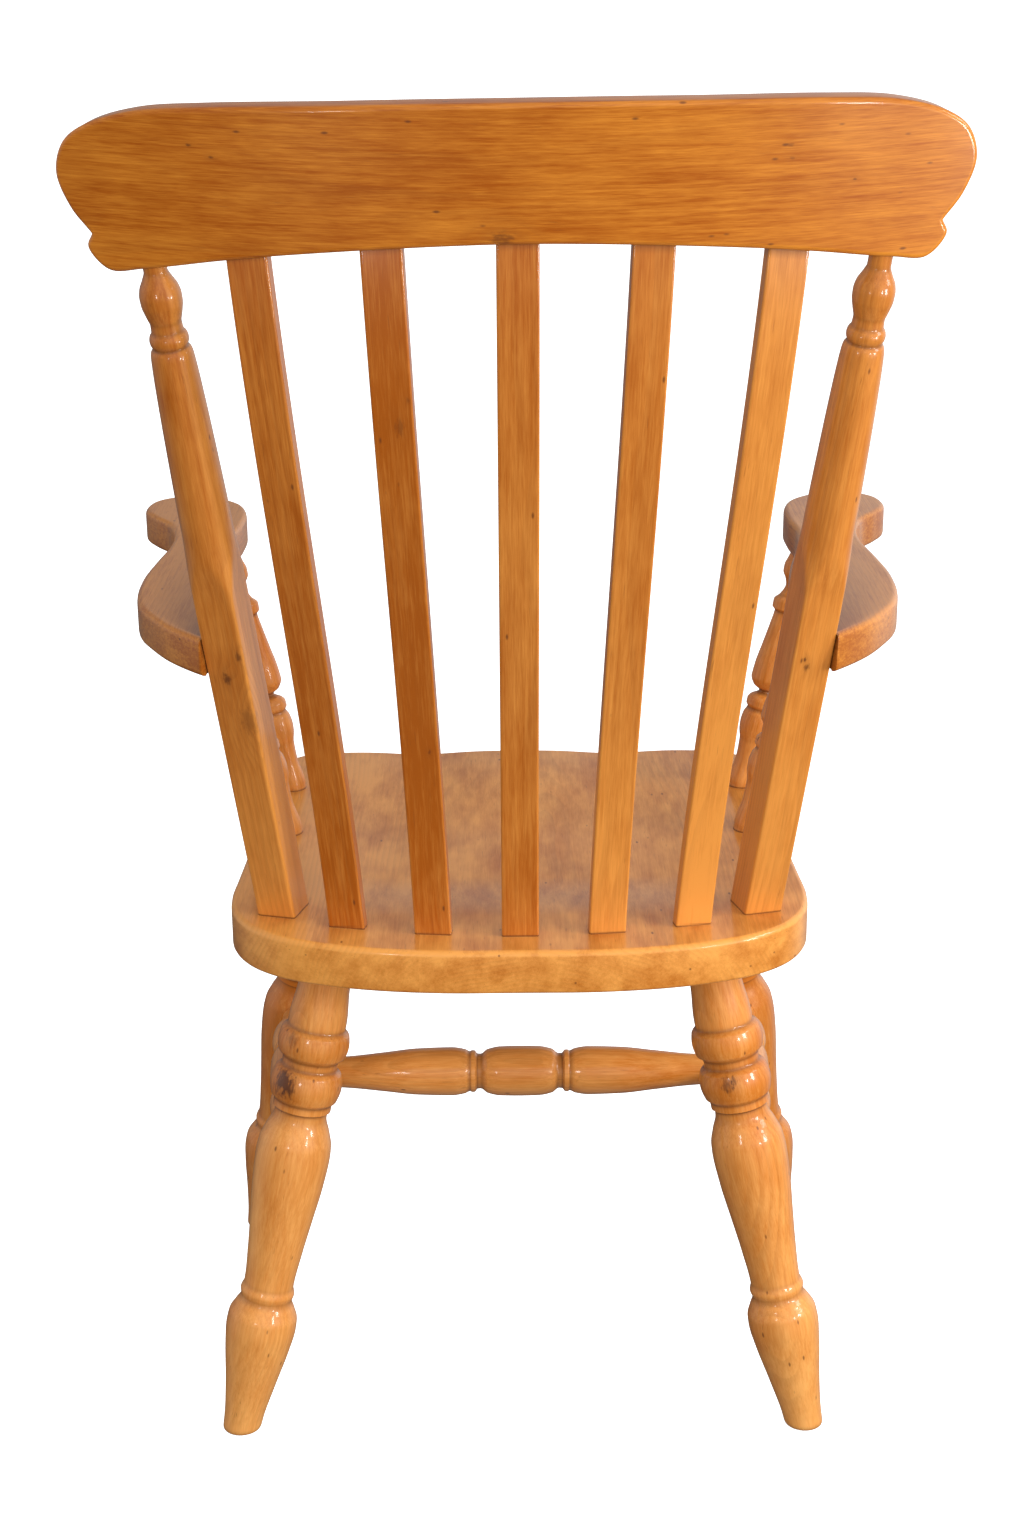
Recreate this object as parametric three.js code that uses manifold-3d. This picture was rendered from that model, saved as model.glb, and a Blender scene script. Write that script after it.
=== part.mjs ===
// Captains chair of turned and shaped wood, in millimetres, +Z up and +Y towards the front of the seat.
// Left and right are those of a person sitting in it, so right is +X.
// Every joint is a glued wooden socket: legs, posts and rails end in round tenons, laths in mortises.
import * as THREE from "three";
import { mergeVertices } from "three/addons/utils/BufferGeometryUtils.js";
import Module from "manifold-3d";

const wasm = await Module();
wasm.setup();

// Fits and fineness
const fitGap = 0.3;
const weldDistance = 1e-4;
const legFacets = 14;
const postFacets = 10;
const railFacets = 12;
const tenonFacets = 10;
const tenonChamfer = 1.5;

// Seat slab: its top rises a little to the front and is dished for the sitter
const seatHeight = 450;
const seatThickness = 35;
const seatSlopeDegrees = 1.27;
const seatHalfWidth = 231.5;
const seatDepth = 467;
const seatTopRounding = 5;
const seatBottomRounding = 3;
const seatDish = 8;
const thighHollow = 3;
const seatOutlineSteps = 48;
// Half outline from the middle of the rear edge to the middle of the front edge
const seatOutlineShares = [
  [0, 0],
  [0.26, 0.001],
  [0.475, 0.013],
  [0.648, 0.034],
  [0.8, 0.066],
  [0.916, 0.116],
  [0.981, 0.18],
  [1, 0.253],
  [0.994, 0.332],
  [0.985, 0.428],
  [0.972, 0.642],
  [0.959, 0.835],
  [0.945, 0.9],
  [0.908, 0.957],
  [0.83, 0.985],
  [0.7, 0.994],
  [0.4, 0.999],
  [0, 1],
];
const seatRingShares = [0.92, 0.78, 0.62, 0.42, 0.18];
const seatCentreShare = 0.49;
// Shares of the seat's depth and half width over which the dish and the thigh hollows come and go
const dishRearShares = [0.15, 0.36];
const dishSideShares = [0.43, 0.82];
const dishFrontShares = [0.56, 0.94];
const thighMiddleShare = 0.38;
const thighSpreadShare = 0.165;

// Crest rail: a board bowed to a radius, ends forward, leaning back over the laths.
// Its rise is from the seat's rear edge to the middle of its underside.
const crestHalfLength = 305;
const crestHeight = 93;
const crestThickness = 21;
const crestBowRadius = 944;
const crestLeanDegrees = 11.3;
const crestRearY = -91.4;
const crestRise = 537.5;
const crestRounding = 3;
const crestSpineShare = 0.82;
const crestSpineHeightShare = 0.36;
const crestBaySteps = 8;
const crestEndSteps = 8;
const crestLobeSteps = 4;
// Right half, heights in shares of the height at the shoulder: the top up to the spine's end,
// the rounded end down to the nick, the small lobe, and the underside back to the middle
const crestTopShares = [
  [0, 0.968],
  [0.2, 0.963],
  [0.38, 0.948],
  [0.667, 0.912],
  [0.82, 0.862],
];
const crestEndShares = [
  [0.82, 0.862],
  [0.925, 0.752],
  [0.978, 0.62],
  [1, 0.4],
  [0.975, 0.155],
  [0.932, -0.027],
];
const crestLobeShares = [
  [0.932, -0.027],
  [0.944, -0.125],
  [0.9, -0.285],
  [0.82, -0.262],
];
const crestUndersideShares = [
  [0.82, -0.262],
  [0.65, -0.172],
  [0.51, -0.113],
  [0.25, -0.043],
  [0, -0.016],
];

// Laths of the back: upright at the seat, leaning in the middle, upright again at the crest rail
const slatCount = 5;
const slatWidth = 28.6;
const slatThickness = 11;
const slatCorner = 1.5;
const slatSeatSpacing = 67.5;
const slatCrestSpacing = 89.7;
const slatRearY = 29;
const slatSeatBowRadius = 500;
const slatRecess = 4;
const slatTurnDegrees = 6;
const slatSeatDepth = 20;
const slatCrestDepth = 18;
const slatSteps = 13;
// The backward travel between seat and crest rail as shares of a cubic in the height
const slatSweepShares = [0.06, 2.72, -1.78];

// Back posts: square below with a small arris, turned above, leaning back and out
const backPostWidth = 31;
const backPostDepth = 33;
const backPostTurnDegrees = 15;
const backPostCornerRadius = 22;
const backPostTenonRadius = 10;
const backPostTenonDepth = 22;
const backPostTopTenonRadius = 6;
const backPostTopTenonDepth = 14;
// Foot in shares of the seat's half width and depth, top in a share of the crest rail's half length
const backPostFootShares = [0.808, 0.186];
const backPostTopShare = 0.8077;
// Shares of the post's length from the foot with the turned radius in shares of the corner radius
const backPostTurningShares = [
  [0, 1],
  [0.2467, 1],
  [0.4933, 1],
  [0.5377, 0.98],
  [0.5673, 0.93],
  [0.592, 0.885],
  [0.6216, 0.85],
  [0.6462, 0.845],
  [0.7399, 0.8],
  [0.8189, 0.745],
  [0.8722, 0.68],
  [0.881, 0.64],
  [0.886, 0.56],
  [0.8909, 0.605],
  [0.8958, 0.62],
  [0.9018, 0.59],
  [0.9067, 0.51],
  [0.9175, 0.495],
  [0.9244, 0.54],
  [0.9333, 0.6],
  [0.9432, 0.65],
  [0.9531, 0.658],
  [0.9639, 0.61],
  [0.9767, 0.46],
  [0.9866, 0.37],
  [1, 0.37],
];
// Shares of the length between which the square's flats run out, and how much they open there
const backPostFlatShares = [0.523, 0.631];
const backPostFlatOpening = 4;

// Arms: flat shaped boards that butt on the back posts and end in a round pad.
// The rise is from the seat's rear edge to the arm's top; spread and length are from the back post's middle.
const armRise = 244;
const armThickness = 29;
const armRounding = 4;
const armSpread = 119.2;
const armLength = 447.7;
const armOutlineSteps = 42;
const armDowelRadius = 6;
const armDowelDepth = 15;
const armOutlineShares = [
  [0.078, -0.066],
  [0.187, -0.039],
  [0.303, -0.004],
  [0.439, 0.044],
  [0.564, 0.106],
  [0.659, 0.165],
  [0.717, 0.248],
  [0.736, 0.358],
  [0.706, 0.482],
  [0.673, 0.582],
  [0.681, 0.662],
  [0.756, 0.752],
  [0.892, 0.812],
  [0.984, 0.861],
  [1, 0.906],
  [0.959, 0.954],
  [0.839, 0.986],
  [0.656, 1],
  [0.456, 0.971],
  [0.303, 0.924],
  [0.228, 0.851],
  [0.22, 0.761],
  [0.242, 0.672],
  [0.212, 0.582],
  [0.145, 0.493],
  [0.078, 0.403],
  [0.028, 0.303],
  [0.012, 0.203],
  [0.028, 0.113],
  [0.067, 0.035],
  [0.001, -0.023],
];

// Arm posts: two under each arm, splayed with it
const armPostRadius = 15.6;
const armPostFootTenonRadius = 8;
const armPostFootTenonDepth = 20;
const armPostTopTenonRadius = 5.5;
const armPostTopTenonDepth = 16;
// Feet in shares of the seat's half width and depth, tops in shares of the arm's spread and length
const armPostFootShares = { front: [0.881, 0.786], rear: [0.838, 0.548] };
const armPostTopShares = { front: [0.325, 0.7654], rear: [0.2368, 0.5107] };
const armPostTurningShares = [
  [0, 0.83],
  [0.02, 0.87],
  [0.12, 0.745],
  [0.19, 0.8],
  [0.235, 0.96],
  [0.27, 1],
  [0.305, 0.94],
  [0.33, 0.8],
  [0.345, 0.92],
  [0.365, 0.92],
  [0.38, 0.8],
  [0.405, 0.37],
  [0.425, 0.76],
  [0.46, 1],
  [0.51, 0.975],
  [0.59, 0.84],
  [0.68, 0.69],
  [0.742, 0.61],
  [0.755, 0.79],
  [0.785, 0.81],
  [0.81, 0.54],
  [0.85, 0.34],
  [0.875, 0.44],
  [0.905, 0.67],
  [0.93, 0.69],
  [0.965, 0.57],
  [1, 0.48],
];

// Legs: one turning for all four, splayed outwards, rear pair raked back and front pair forward
const legRadius = 30.4;
// How far each foot stands out to the side and forward of its leg's top
const legSplay = { front: [75.1, 72.7], rear: [85, -47.4] };
const legTenonRadius = 13;
const legTenonDepth = 24;
// Tops in shares of the seat's half width and depth
const legTopShares = { front: [0.7555, 0.687], rear: [0.651, 0.21] };
const legTurningShares = [
  [0, 0.658],
  [0.082, 0.691],
  [0.15, 0.776],
  [0.161, 0.776],
  [0.173, 0.907],
  [0.195, 0.954],
  [0.215, 0.907],
  [0.228, 0.75],
  [0.24, 0.743],
  [0.252, 0.888],
  [0.278, 0.96],
  [0.304, 0.888],
  [0.313, 0.783],
  [0.326, 0.783],
  [0.33, 0.704],
  [0.341, 0.711],
  [0.369, 0.854],
  [0.397, 0.975],
  [0.425, 1],
  [0.479, 0.962],
  [0.549, 0.856],
  [0.619, 0.751],
  [0.692, 0.677],
  [0.708, 0.737],
  [0.72, 0.701],
  [0.738, 0.816],
  [0.759, 0.938],
  [0.78, 0.954],
  [0.822, 0.888],
  [0.9, 0.697],
  [0.97, 0.546],
  [1, 0.506],
];

// Stretchers: a side rail between the legs of each side and a cross rail between the side rails
const stretcherLegShare = 0.411;
const stretcherRadius = 21.7;
const stretcherHalfBead = 33;
const sideStretcherTenonRadius = 9;
const sideStretcherTenonDepth = 16;
const crossStretcherTenonRadius = 8;
const crossStretcherTenonDepth = 13;
// The middle bead and its rings, distances in shares of the bead's half length
const stretcherMiddleShares = [
  [0, 1],
  [0.5, 0.985],
  [0.85, 0.88],
  [1.03, 0.7],
  [1.12, 0.71],
  [1.18, 0.83],
  [1.27, 0.84],
  [1.31, 0.8],
  [1.45, 0.89],
  [1.8, 0.965],
];
// The taper from the last ring to the end of the rail, distances in shares of what is left
const stretcherTaperShares = [
  [0.25, 0.93],
  [0.5, 0.79],
  [0.75, 0.65],
  [0.92, 0.595],
  [1, 0.585],
];

// Colours of the wood
const amberWood = "#c9803a";
const paleWood = "#c48a5e";
const woodRoughness = 0.35;

const sides = { left: -1, right: 1 };
const radians = THREE.MathUtils.degToRad;
const smooth = THREE.MathUtils.smoothstep;
const up = new THREE.Vector3(0, 0, 1);
const seatSlope = Math.tan(radians(seatSlopeDegrees));
const huge = seatDepth + seatHeight;

// A closed geometry as a solid, its coincident corners joined and its empty triangles dropped.
function solidOf(geometry) {
  const bare = geometry.clone();
  bare.deleteAttribute("normal");
  bare.deleteAttribute("uv");
  const merged = mergeVertices(bare, weldDistance);
  const corners = merged.index.array;
  const kept = [];
  for (let i = 0; i < corners.length; i += 3) {
    const [a, b, c] = [corners[i], corners[i + 1], corners[i + 2]];
    if (a !== b && b !== c && c !== a) kept.push(a, b, c);
  }
  return new wasm.Manifold(
    new wasm.Mesh({
      numProp: 3,
      vertProperties: new Float32Array(merged.attributes.position.array),
      triVerts: new Uint32Array(kept),
    }),
  );
}

// Rings of equally many points joined into one closed skin, each end fanned shut if asked.
function loft(rings, capped = true) {
  const count = rings[0].length;
  const points = rings.flat();
  const faces = [];
  for (let j = 0; j + 1 < rings.length; j++)
    for (let i = 0; i < count; i++) {
      const next = (i + 1) % count;
      const [a, b] = [j * count + i, j * count + next];
      faces.push(a, b, b + count, a, b + count, a + count);
    }
  const fan = (ring, start, turned) => {
    const middle = new THREE.Vector3();
    ring.forEach((p) => middle.addScaledVector(p, 1 / count));
    points.push(middle);
    for (let i = 0; i < count; i++) {
      const pair = [start + i, start + ((i + 1) % count)];
      if (turned) pair.reverse();
      faces.push(points.length - 1, ...pair);
    }
  };
  if (capped) {
    fan(rings[0], 0, true);
    fan(rings.at(-1), count * (rings.length - 1), false);
  }
  const geometry = new THREE.BufferGeometry().setFromPoints(points);
  geometry.setIndex(faces);
  return solidOf(geometry);
}

// A solid of revolution about the line from one point towards another, from [distance, radius] pairs.
function turned(from, to, profile, facets) {
  const axis = to.clone().sub(from).normalize();
  const outline = profile.map(([distance, radius]) => new THREE.Vector2(radius, distance));
  outline.unshift(new THREE.Vector2(0, profile[0][0]));
  outline.push(new THREE.Vector2(0, profile.at(-1)[0]));
  const geometry = new THREE.LatheGeometry(outline, facets);
  geometry.applyQuaternion(new THREE.Quaternion().setFromUnitVectors(new THREE.Vector3(0, 1, 0), axis));
  geometry.translate(...from);
  return solidOf(geometry);
}

// The [distance, radius] pairs of a turning from its shares.
function profileOf(shares, length, radius) {
  return shares.map(([along, across]) => [along * length, across * radius]);
}

// A round tenon from a point along a direction, starting inside the piece it belongs to.
function tenon(from, direction, radius, depth, rootDepth, gap = 0) {
  const r = radius + gap;
  const end = depth + gap;
  const profile = [[-rootDepth, r], [end - tenonChamfer, r], [end, r - tenonChamfer]];
  return turned(from, from.clone().add(direction), profile, tenonFacets);
}

// Everything on the far side of the plane through a point, in the direction of its normal.
function beyond(point, normal) {
  const box = new THREE.BoxGeometry(2 * huge, 2 * huge, 2 * huge);
  box.translate(0, 0, huge);
  box.applyQuaternion(new THREE.Quaternion().setFromUnitVectors(up, normal.clone().normalize()));
  box.translate(...point);
  return solidOf(box);
}

// Points spread evenly along a smooth curve through the given ones.
function curveThrough(points, steps) {
  const curve = new THREE.CatmullRomCurve3(points.map(([x, y]) => new THREE.Vector3(x, y, 0)), false, "centripetal");
  return curve.getSpacedPoints(steps).map((p) => [p.x, p.y]);
}

// A closed outline with each point moved inwards, where inwards is to the left of its run.
function inset(outline, distance) {
  const count = outline.length;
  return outline.map(([x, y], i) => {
    const [ax, ay] = outline[(i + count - 1) % count];
    const [bx, by] = outline[(i + 1) % count];
    const length = Math.hypot(bx - ax, by - ay);
    return [x - (distance * (by - ay)) / length, y + (distance * (bx - ax)) / length];
  });
}

// Inset and depth pairs of a rounded edge, from the face outwards.
function roundedEdge(radius) {
  const bend = radius * (1 - Math.SQRT1_2);
  return [[radius, 0], [bend, bend], [0, radius]];
}

// Height of the seat's plane, of its dished top and of its underside at a place.
function seatPlane(x, y) {
  return seatHeight + seatSlope * y;
}

function seatTop(x, y) {
  const along = y / seatDepth;
  const across = Math.abs(x) / seatHalfWidth;
  const front = smooth(along, ...dishFrontShares);
  const bowl = seatDish * (1 - smooth(across, ...dishSideShares)) * (1 - front);
  const thighs = thighHollow * front * Math.exp(-(((across - thighMiddleShare) / thighSpreadShare) ** 2));
  return seatPlane(x, y) - smooth(along, ...dishRearShares) * (bowl + thighs);
}

function seatUnderside(x, y) {
  return seatPlane(x, y) - seatThickness;
}

// A point of one side from shares of the seat's half width and depth, at the height that a function gives there.
function seatPoint(side, [across, along], height) {
  const [x, y] = [across * seatHalfWidth, along * seatDepth];
  return new THREE.Vector3(side * x, y, height(x, y));
}

// The seat's slab, grown upwards by a gap when it serves to trim what stands on it.
function seatSlab(gap = 0) {
  const half = curveThrough(
    seatOutlineShares.map(([x, y]) => [x * seatHalfWidth, y * seatDepth]),
    seatOutlineSteps / 2,
  );
  const outline = half.concat(half.slice(1, -1).reverse().map(([x, y]) => [-x, y]));
  const ring = (edge, height) => inset(outline, edge).map(([x, y]) => new THREE.Vector3(x, y, height(x, y)));
  const low = roundedEdge(seatBottomRounding).map(([edge, rise]) => ring(edge, (x, y) => seatUnderside(x, y) + rise));
  const high = roundedEdge(seatTopRounding).map(([edge, drop]) => ring(edge, (x, y) => seatTop(x, y) - drop + gap));
  const middle = seatCentreShare * seatDepth;
  const inner = seatRingShares.map((share) =>
    outline.map(([x, y]) => {
      const [px, py] = [x * share, middle + (y - middle) * share];
      return new THREE.Vector3(px, py, seatTop(px, py) + gap);
    }),
  );
  return loft([...low, ...high.reverse(), ...inner]);
}

// A place on or in the crest rail: along it, up its leaning face, and forward into its thickness.
function crestPlace(x, height, depth) {
  const lean = radians(crestLeanDegrees);
  const share = x / crestBowRadius;
  const forward = crestBowRadius - (crestBowRadius - depth) * Math.sqrt(1 - share * share);
  return new THREE.Vector3(
    (crestBowRadius - depth) * share,
    crestRearY + forward * Math.cos(lean) - height * Math.sin(lean),
    seatHeight + crestRise + forward * Math.sin(lean) + height * Math.cos(lean),
  );
}

// The height of the crest rail's underside at a distance along it, by the points of its outline.
function crestUnderside(x) {
  const points = crestUndersideShares.map(([a, b]) => [a * crestHalfLength, b * crestHeight]).reverse();
  const at = Math.abs(x);
  const i = Math.max(1, points.findIndex(([a]) => a >= at));
  const [[ax, ay], [bx, by]] = [points[i - 1], points[i]];
  return ay + ((by - ay) * (at - ax)) / (bx - ax);
}

function crestBoard() {
  const scaled = (shares) => shares.map(([x, y]) => [x * crestHalfLength, y * crestHeight]);
  const spineEnd = crestSpineShare * crestHalfLength;
  const spineHeight = crestSpineHeightShare * crestHeight;
  const evenly = (shares) => {
    const fine = curveThrough(scaled(shares), crestBaySteps * crestBaySteps);
    return Array.from({ length: crestBaySteps + 1 }, (_, i) => {
      const x = (i / crestBaySteps) * spineEnd;
      const near = fine.reduce((best, p) => (Math.abs(p[0] - x) < Math.abs(best[0] - x) ? p : best));
      return [x, near[1]];
    });
  };
  const top = evenly(crestTopShares);
  const underside = evenly(crestUndersideShares);
  const end = curveThrough(scaled(crestEndShares), crestEndSteps);
  const lobe = curveThrough(scaled(crestLobeShares), crestLobeSteps);
  // The right half from the middle of the underside outwards and back along the top, each point with its spine point
  const rightHalf = [
    ...underside.map((p) => [p, p[0]]),
    ...lobe.slice(1, -1).reverse().map((p) => [p, spineEnd]),
    ...end.slice(1).reverse().map((p) => [p, spineEnd]),
    ...top.slice().reverse().map((p) => [p, p[0]]),
  ];
  const leftHalf = rightHalf.slice(1, -1).reverse().map(([[x, y], s]) => [[-x, y], -s]);
  const loop = [...rightHalf, ...leftHalf];
  const outline = loop.map(([p]) => p);
  const spine = loop.map(([, s]) => [s, spineHeight]);
  const ring = (share, edge, depth) =>
    inset(outline, edge).map(([x, y], i) => {
      const [sx, sy] = spine[i];
      return crestPlace(sx + (x - sx) * share, sy + (y - sy) * share, depth);
    });
  const edges = roundedEdge(crestRounding);
  const rear = [ring(0, crestRounding, 0), ring(0.5, crestRounding, 0), ...edges.map(([edge, depth]) => ring(1, edge, depth))];
  const front = [
    ...edges.map(([edge, depth]) => ring(1, edge, crestThickness - depth)).reverse(),
    ring(0.5, crestRounding, crestThickness),
    ring(0, crestRounding, crestThickness),
  ];
  return loft([...rear, ...front].reverse(), false);
}

// One lath of the back, or the mortise for it when grown by a gap.
function slatBody(at, gap = 0) {
  const seatX = at * slatSeatSpacing;
  const crestX = at * slatCrestSpacing;
  const turn = radians(at * slatTurnDegrees);
  const seatY = slatRearY + seatX ** 2 / (2 * slatSeatBowRadius);
  const crest = crestPlace(crestX, crestUnderside(crestX), slatRecess);
  const foot = seatTop(seatX, seatY);
  const height = crest.z - foot;
  const [a, b, c] = slatSweepShares;
  const pathAt = (h) =>
    new THREE.Vector3(
      seatX + (crestX - seatX) * h,
      seatY + (crest.y - seatY) * (a * h + b * h ** 2 + c * h ** 3),
      foot + height * h,
    );
  const low = -(slatSeatDepth + gap) / height;
  const high = 1 + (slatCrestDepth + gap) / height;
  const across = new THREE.Vector3(Math.cos(turn), Math.sin(turn), 0);
  const [halfWidth, halfDepth] = [slatWidth / 2 + gap, slatThickness / 2 + gap];
  const section = [
    [halfWidth, slatCorner - halfDepth],
    [halfWidth, halfDepth - slatCorner],
    [halfWidth - slatCorner, halfDepth],
    [slatCorner - halfWidth, halfDepth],
    [-halfWidth, halfDepth - slatCorner],
    [-halfWidth, slatCorner - halfDepth],
    [slatCorner - halfWidth, -halfDepth],
    [halfWidth - slatCorner, -halfDepth],
  ];
  const step = (high - low) / slatSteps;
  const rings = Array.from({ length: slatSteps + 1 }, (_, i) => {
    const h = low + i * step;
    const along = pathAt(h + step / 2).sub(pathAt(h - step / 2)).normalize();
    const width = across.clone().addScaledVector(along, -across.dot(along)).normalize();
    const forward = along.clone().cross(width);
    const middle = pathAt(h).addScaledVector(forward, slatThickness / 2);
    return section.map(([u, v]) => middle.clone().addScaledVector(width, u).addScaledVector(forward, v));
  });
  return loft(rings);
}

// Axis, foot and top of a back post, and its width and depth directions.
function backPostFrame(side) {
  const turn = radians(backPostTurnDegrees);
  const foot = seatPoint(side, backPostFootShares, seatPlane);
  const topX = backPostTopShare * crestHalfLength;
  const top = crestPlace(side * topX, crestUnderside(topX), crestThickness / 2);
  const along = top.clone().sub(foot).normalize();
  const outwards = new THREE.Vector3(side * Math.cos(turn), Math.sin(turn), 0);
  const width = outwards.addScaledVector(along, -outwards.dot(along)).normalize();
  const depth = along.clone().cross(width);
  return { foot, top, along, width, depth, length: foot.distanceTo(top) };
}

function backPostTopTenon(frame, gap = 0) {
  const root = 2 * tenonChamfer;
  return tenon(frame.top, frame.along, backPostTopTenonRadius, backPostTopTenonDepth, root, gap);
}

function backPostFootTenon(frame, gap = 0) {
  const down = frame.along.clone().negate();
  return tenon(frame.foot, down, backPostTenonRadius, backPostTenonDepth, backPostDepth / 2, gap);
}

// The plane of a back post's outer side, moved outwards by a gap: a point on it at a height, and its normal.
function backPostOuterFace(frame, height, gap = 0) {
  const share = (height - frame.foot.z) / (frame.top.z - frame.foot.z);
  const point = frame.foot.clone().lerp(frame.top, share);
  return point.addScaledVector(frame.width, backPostWidth / 2 + gap);
}

// The crest rail lowered by the fit gap, less the socket of a back post: it trims the top of the post.
function crestBlock(side) {
  const lowered = crestBoard().translate([0, 0, -fitGap]);
  return lowered.subtract(backPostTopTenon(backPostFrame(side)));
}

// All that lies above the crest rail's underside where a back post meets it.
function aboveCrestUnderside(frame) {
  const x = backPostTopShare * crestHalfLength;
  const side = Math.sign(frame.top.x);
  const at = (further, depth) => crestPlace(side * (x + further), crestUnderside(x + further), depth);
  const outwards = at(crestRounding, 0).sub(at(0, 0));
  const through = at(0, crestThickness).sub(at(0, 0));
  const normal = outwards.cross(through).multiplyScalar(side).normalize();
  return beyond(frame.top.clone().addScaledVector(normal, -fitGap), normal);
}

function backPost(side, trims) {
  const frame = backPostFrame(side);
  const [halfWidth, halfDepth] = [backPostWidth / 2, backPostDepth / 2];
  const first = Math.acos(halfWidth / backPostCornerRadius);
  const last = Math.asin(halfDepth / backPostCornerRadius);
  const quarter = Math.PI / 2;
  const angles = [0, first / 2, first, last, (last + quarter) / 2];
  const circle = [0, 1, 2, 3].flatMap((q) =>
    q % 2 === 0
      ? angles.map((t) => q * quarter + t)
      : [quarter, ...angles.slice(1).reverse()].map((t) => (q + 1) * quarter - t),
  );
  const ringAt = ([along, across]) => {
    const opening = smooth(along, ...backPostFlatShares) * backPostFlatOpening;
    const centre = frame.foot.clone().lerp(frame.top, along);
    return circle.map((t) => {
      const [u, v] = [Math.cos(t), Math.sin(t)];
      const flat = Math.min((halfWidth + opening) / Math.abs(u), (halfDepth + opening) / Math.abs(v));
      const r = Math.min(across * backPostCornerRadius, flat);
      return centre.clone().addScaledVector(frame.width, r * u).addScaledVector(frame.depth, r * v);
    });
  };
  const spare = backPostDepth / 2 / frame.length;
  const rings = [[-spare, 1], ...backPostTurningShares, [1 + spare, backPostTurningShares.at(-1)[1]]].map(ringAt);
  const cuts = [trims.seat, armDowel(side, fitGap), aboveCrestUnderside(frame)];
  const body = cuts.reduce((solid, cut) => solid.subtract(cut), loft(rings));
  return body.add(backPostFootTenon(frame)).add(backPostTopTenon(frame)).subtract(crestBlock(side));
}

// Height of the arm's top above the seat's rear edge line.
function armHeight() {
  return seatHeight + armRise;
}

// The middle height of the arm's rear end, where it meets the back post.
function armButtHeight() {
  return armHeight() - armThickness / 2;
}

// A place on the right arm from shares of its spread and length, from the back post's middle at the arm's height.
function armPoint([spread, length]) {
  const frame = backPostFrame(sides.right);
  const butt = frame.foot.clone().lerp(frame.top, (armButtHeight() - frame.foot.z) / (frame.top.z - frame.foot.z));
  return [butt.x + spread * armSpread, butt.y + length * armLength];
}

// The dowel of an arm's rear end that goes into its back post, or the hole for it.
function armDowel(side, gap = 0) {
  const frame = backPostFrame(side);
  const face = backPostOuterFace(frame, armButtHeight());
  const inwards = frame.width.clone().negate();
  return tenon(face, inwards, armDowelRadius, armDowelDepth, armRounding, gap);
}

// An arm's board, before its rear end is cut to the back post.
function armBoard(side) {
  const points = armOutlineShares.map(armPoint);
  const outline = curveThrough(points, armOutlineSteps);
  const slope = radians(seatSlopeDegrees);
  const at = ([x, y], z) =>
    new THREE.Vector3(
      side * x,
      y * Math.cos(slope) - z * Math.sin(slope),
      armHeight() - armThickness + y * Math.sin(slope) + z * Math.cos(slope),
    );
  const edges = roundedEdge(armRounding);
  const shape = new THREE.Shape(inset(outline, armRounding).map(([x, y]) => new THREE.Vector2(x, y)));
  const rings = [
    ...edges.map(([edge, rise]) => inset(outline, edge).map((p) => at(p, rise))),
    ...edges.map(([edge, rise]) => inset(outline, edge).map((p) => at(p, armThickness - rise))).reverse(),
  ];
  return plateOf(rings, shape, side);
}

// Rings joined into a skin whose two flat ends are triangulated from their shape.
function plateOf(rings, shape, side) {
  const count = rings[0].length;
  const points = rings.flat();
  const faces = [];
  for (let j = 0; j + 1 < rings.length; j++)
    for (let i = 0; i < count; i++) {
      const next = (i + 1) % count;
      const [a, b] = [j * count + i, j * count + next];
      faces.push([a, b, b + count], [a, b + count, a + count]);
    }
  const last = count * (rings.length - 1);
  THREE.ShapeUtils.triangulateShape(shape.getPoints(), []).forEach(([a, b, c]) => {
    faces.push([c, b, a], [last + a, last + b, last + c]);
  });
  const geometry = new THREE.BufferGeometry().setFromPoints(points);
  geometry.setIndex(faces.flatMap((face) => (side < 0 ? face.reverse() : face)));
  return solidOf(geometry);
}

function arm(side, postTenons) {
  const frame = backPostFrame(side);
  const face = backPostOuterFace(frame, armButtHeight(), fitGap);
  const cut = armBoard(side).subtract(beyond(face, frame.width.clone().negate()));
  return postTenons.reduce((body, hole) => body.subtract(hole), cut.add(armDowel(side)));
}

// Foot on the seat, top at the arm's underside, and the line between them, for one arm post.
function armPostFrame(side, end) {
  const foot = seatPoint(side, armPostFootShares[end], seatTop);
  const [x, y] = armPoint(armPostTopShares[end]);
  const top = new THREE.Vector3(side * x, y, armHeight() - armThickness + seatSlope * y);
  return { foot, top, along: top.clone().sub(foot).normalize(), length: foot.distanceTo(top) };
}

function armPostTenons(frame, gap = 0) {
  const down = frame.along.clone().negate();
  const root = armPostRadius / 2;
  return {
    foot: tenon(frame.foot, down, armPostFootTenonRadius, armPostFootTenonDepth, root, gap),
    top: tenon(frame.top, frame.along, armPostTopTenonRadius, armPostTopTenonDepth, root, gap),
  };
}

function armPost(side, end, trims) {
  const frame = armPostFrame(side, end);
  const spare = armPostRadius / 2;
  const profile = profileOf(armPostTurningShares, frame.length, armPostRadius);
  profile.unshift([-spare, profile[0][1]]);
  profile.push([frame.length + spare, profile.at(-1)[1]]);
  const body = turned(frame.foot, frame.top, profile, postFacets);
  const slope = radians(seatSlopeDegrees);
  const armNormal = new THREE.Vector3(0, -Math.sin(slope), Math.cos(slope));
  const under = frame.top.clone().addScaledVector(armNormal, -fitGap);
  const tenons = armPostTenons(frame);
  return body.subtract(trims.seat).subtract(beyond(under, armNormal)).add(tenons.foot).add(tenons.top);
}

// Top on the seat's underside, foot on the floor, and the line between them, for one leg.
function legFrame(side, end) {
  const top = seatPoint(side, legTopShares[end], seatUnderside);
  const [out, forward] = legSplay[end];
  const foot = new THREE.Vector3(top.x + side * out, top.y + forward, 0);
  return { top, foot, along: foot.clone().sub(top).normalize(), length: top.distanceTo(foot) };
}

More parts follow.
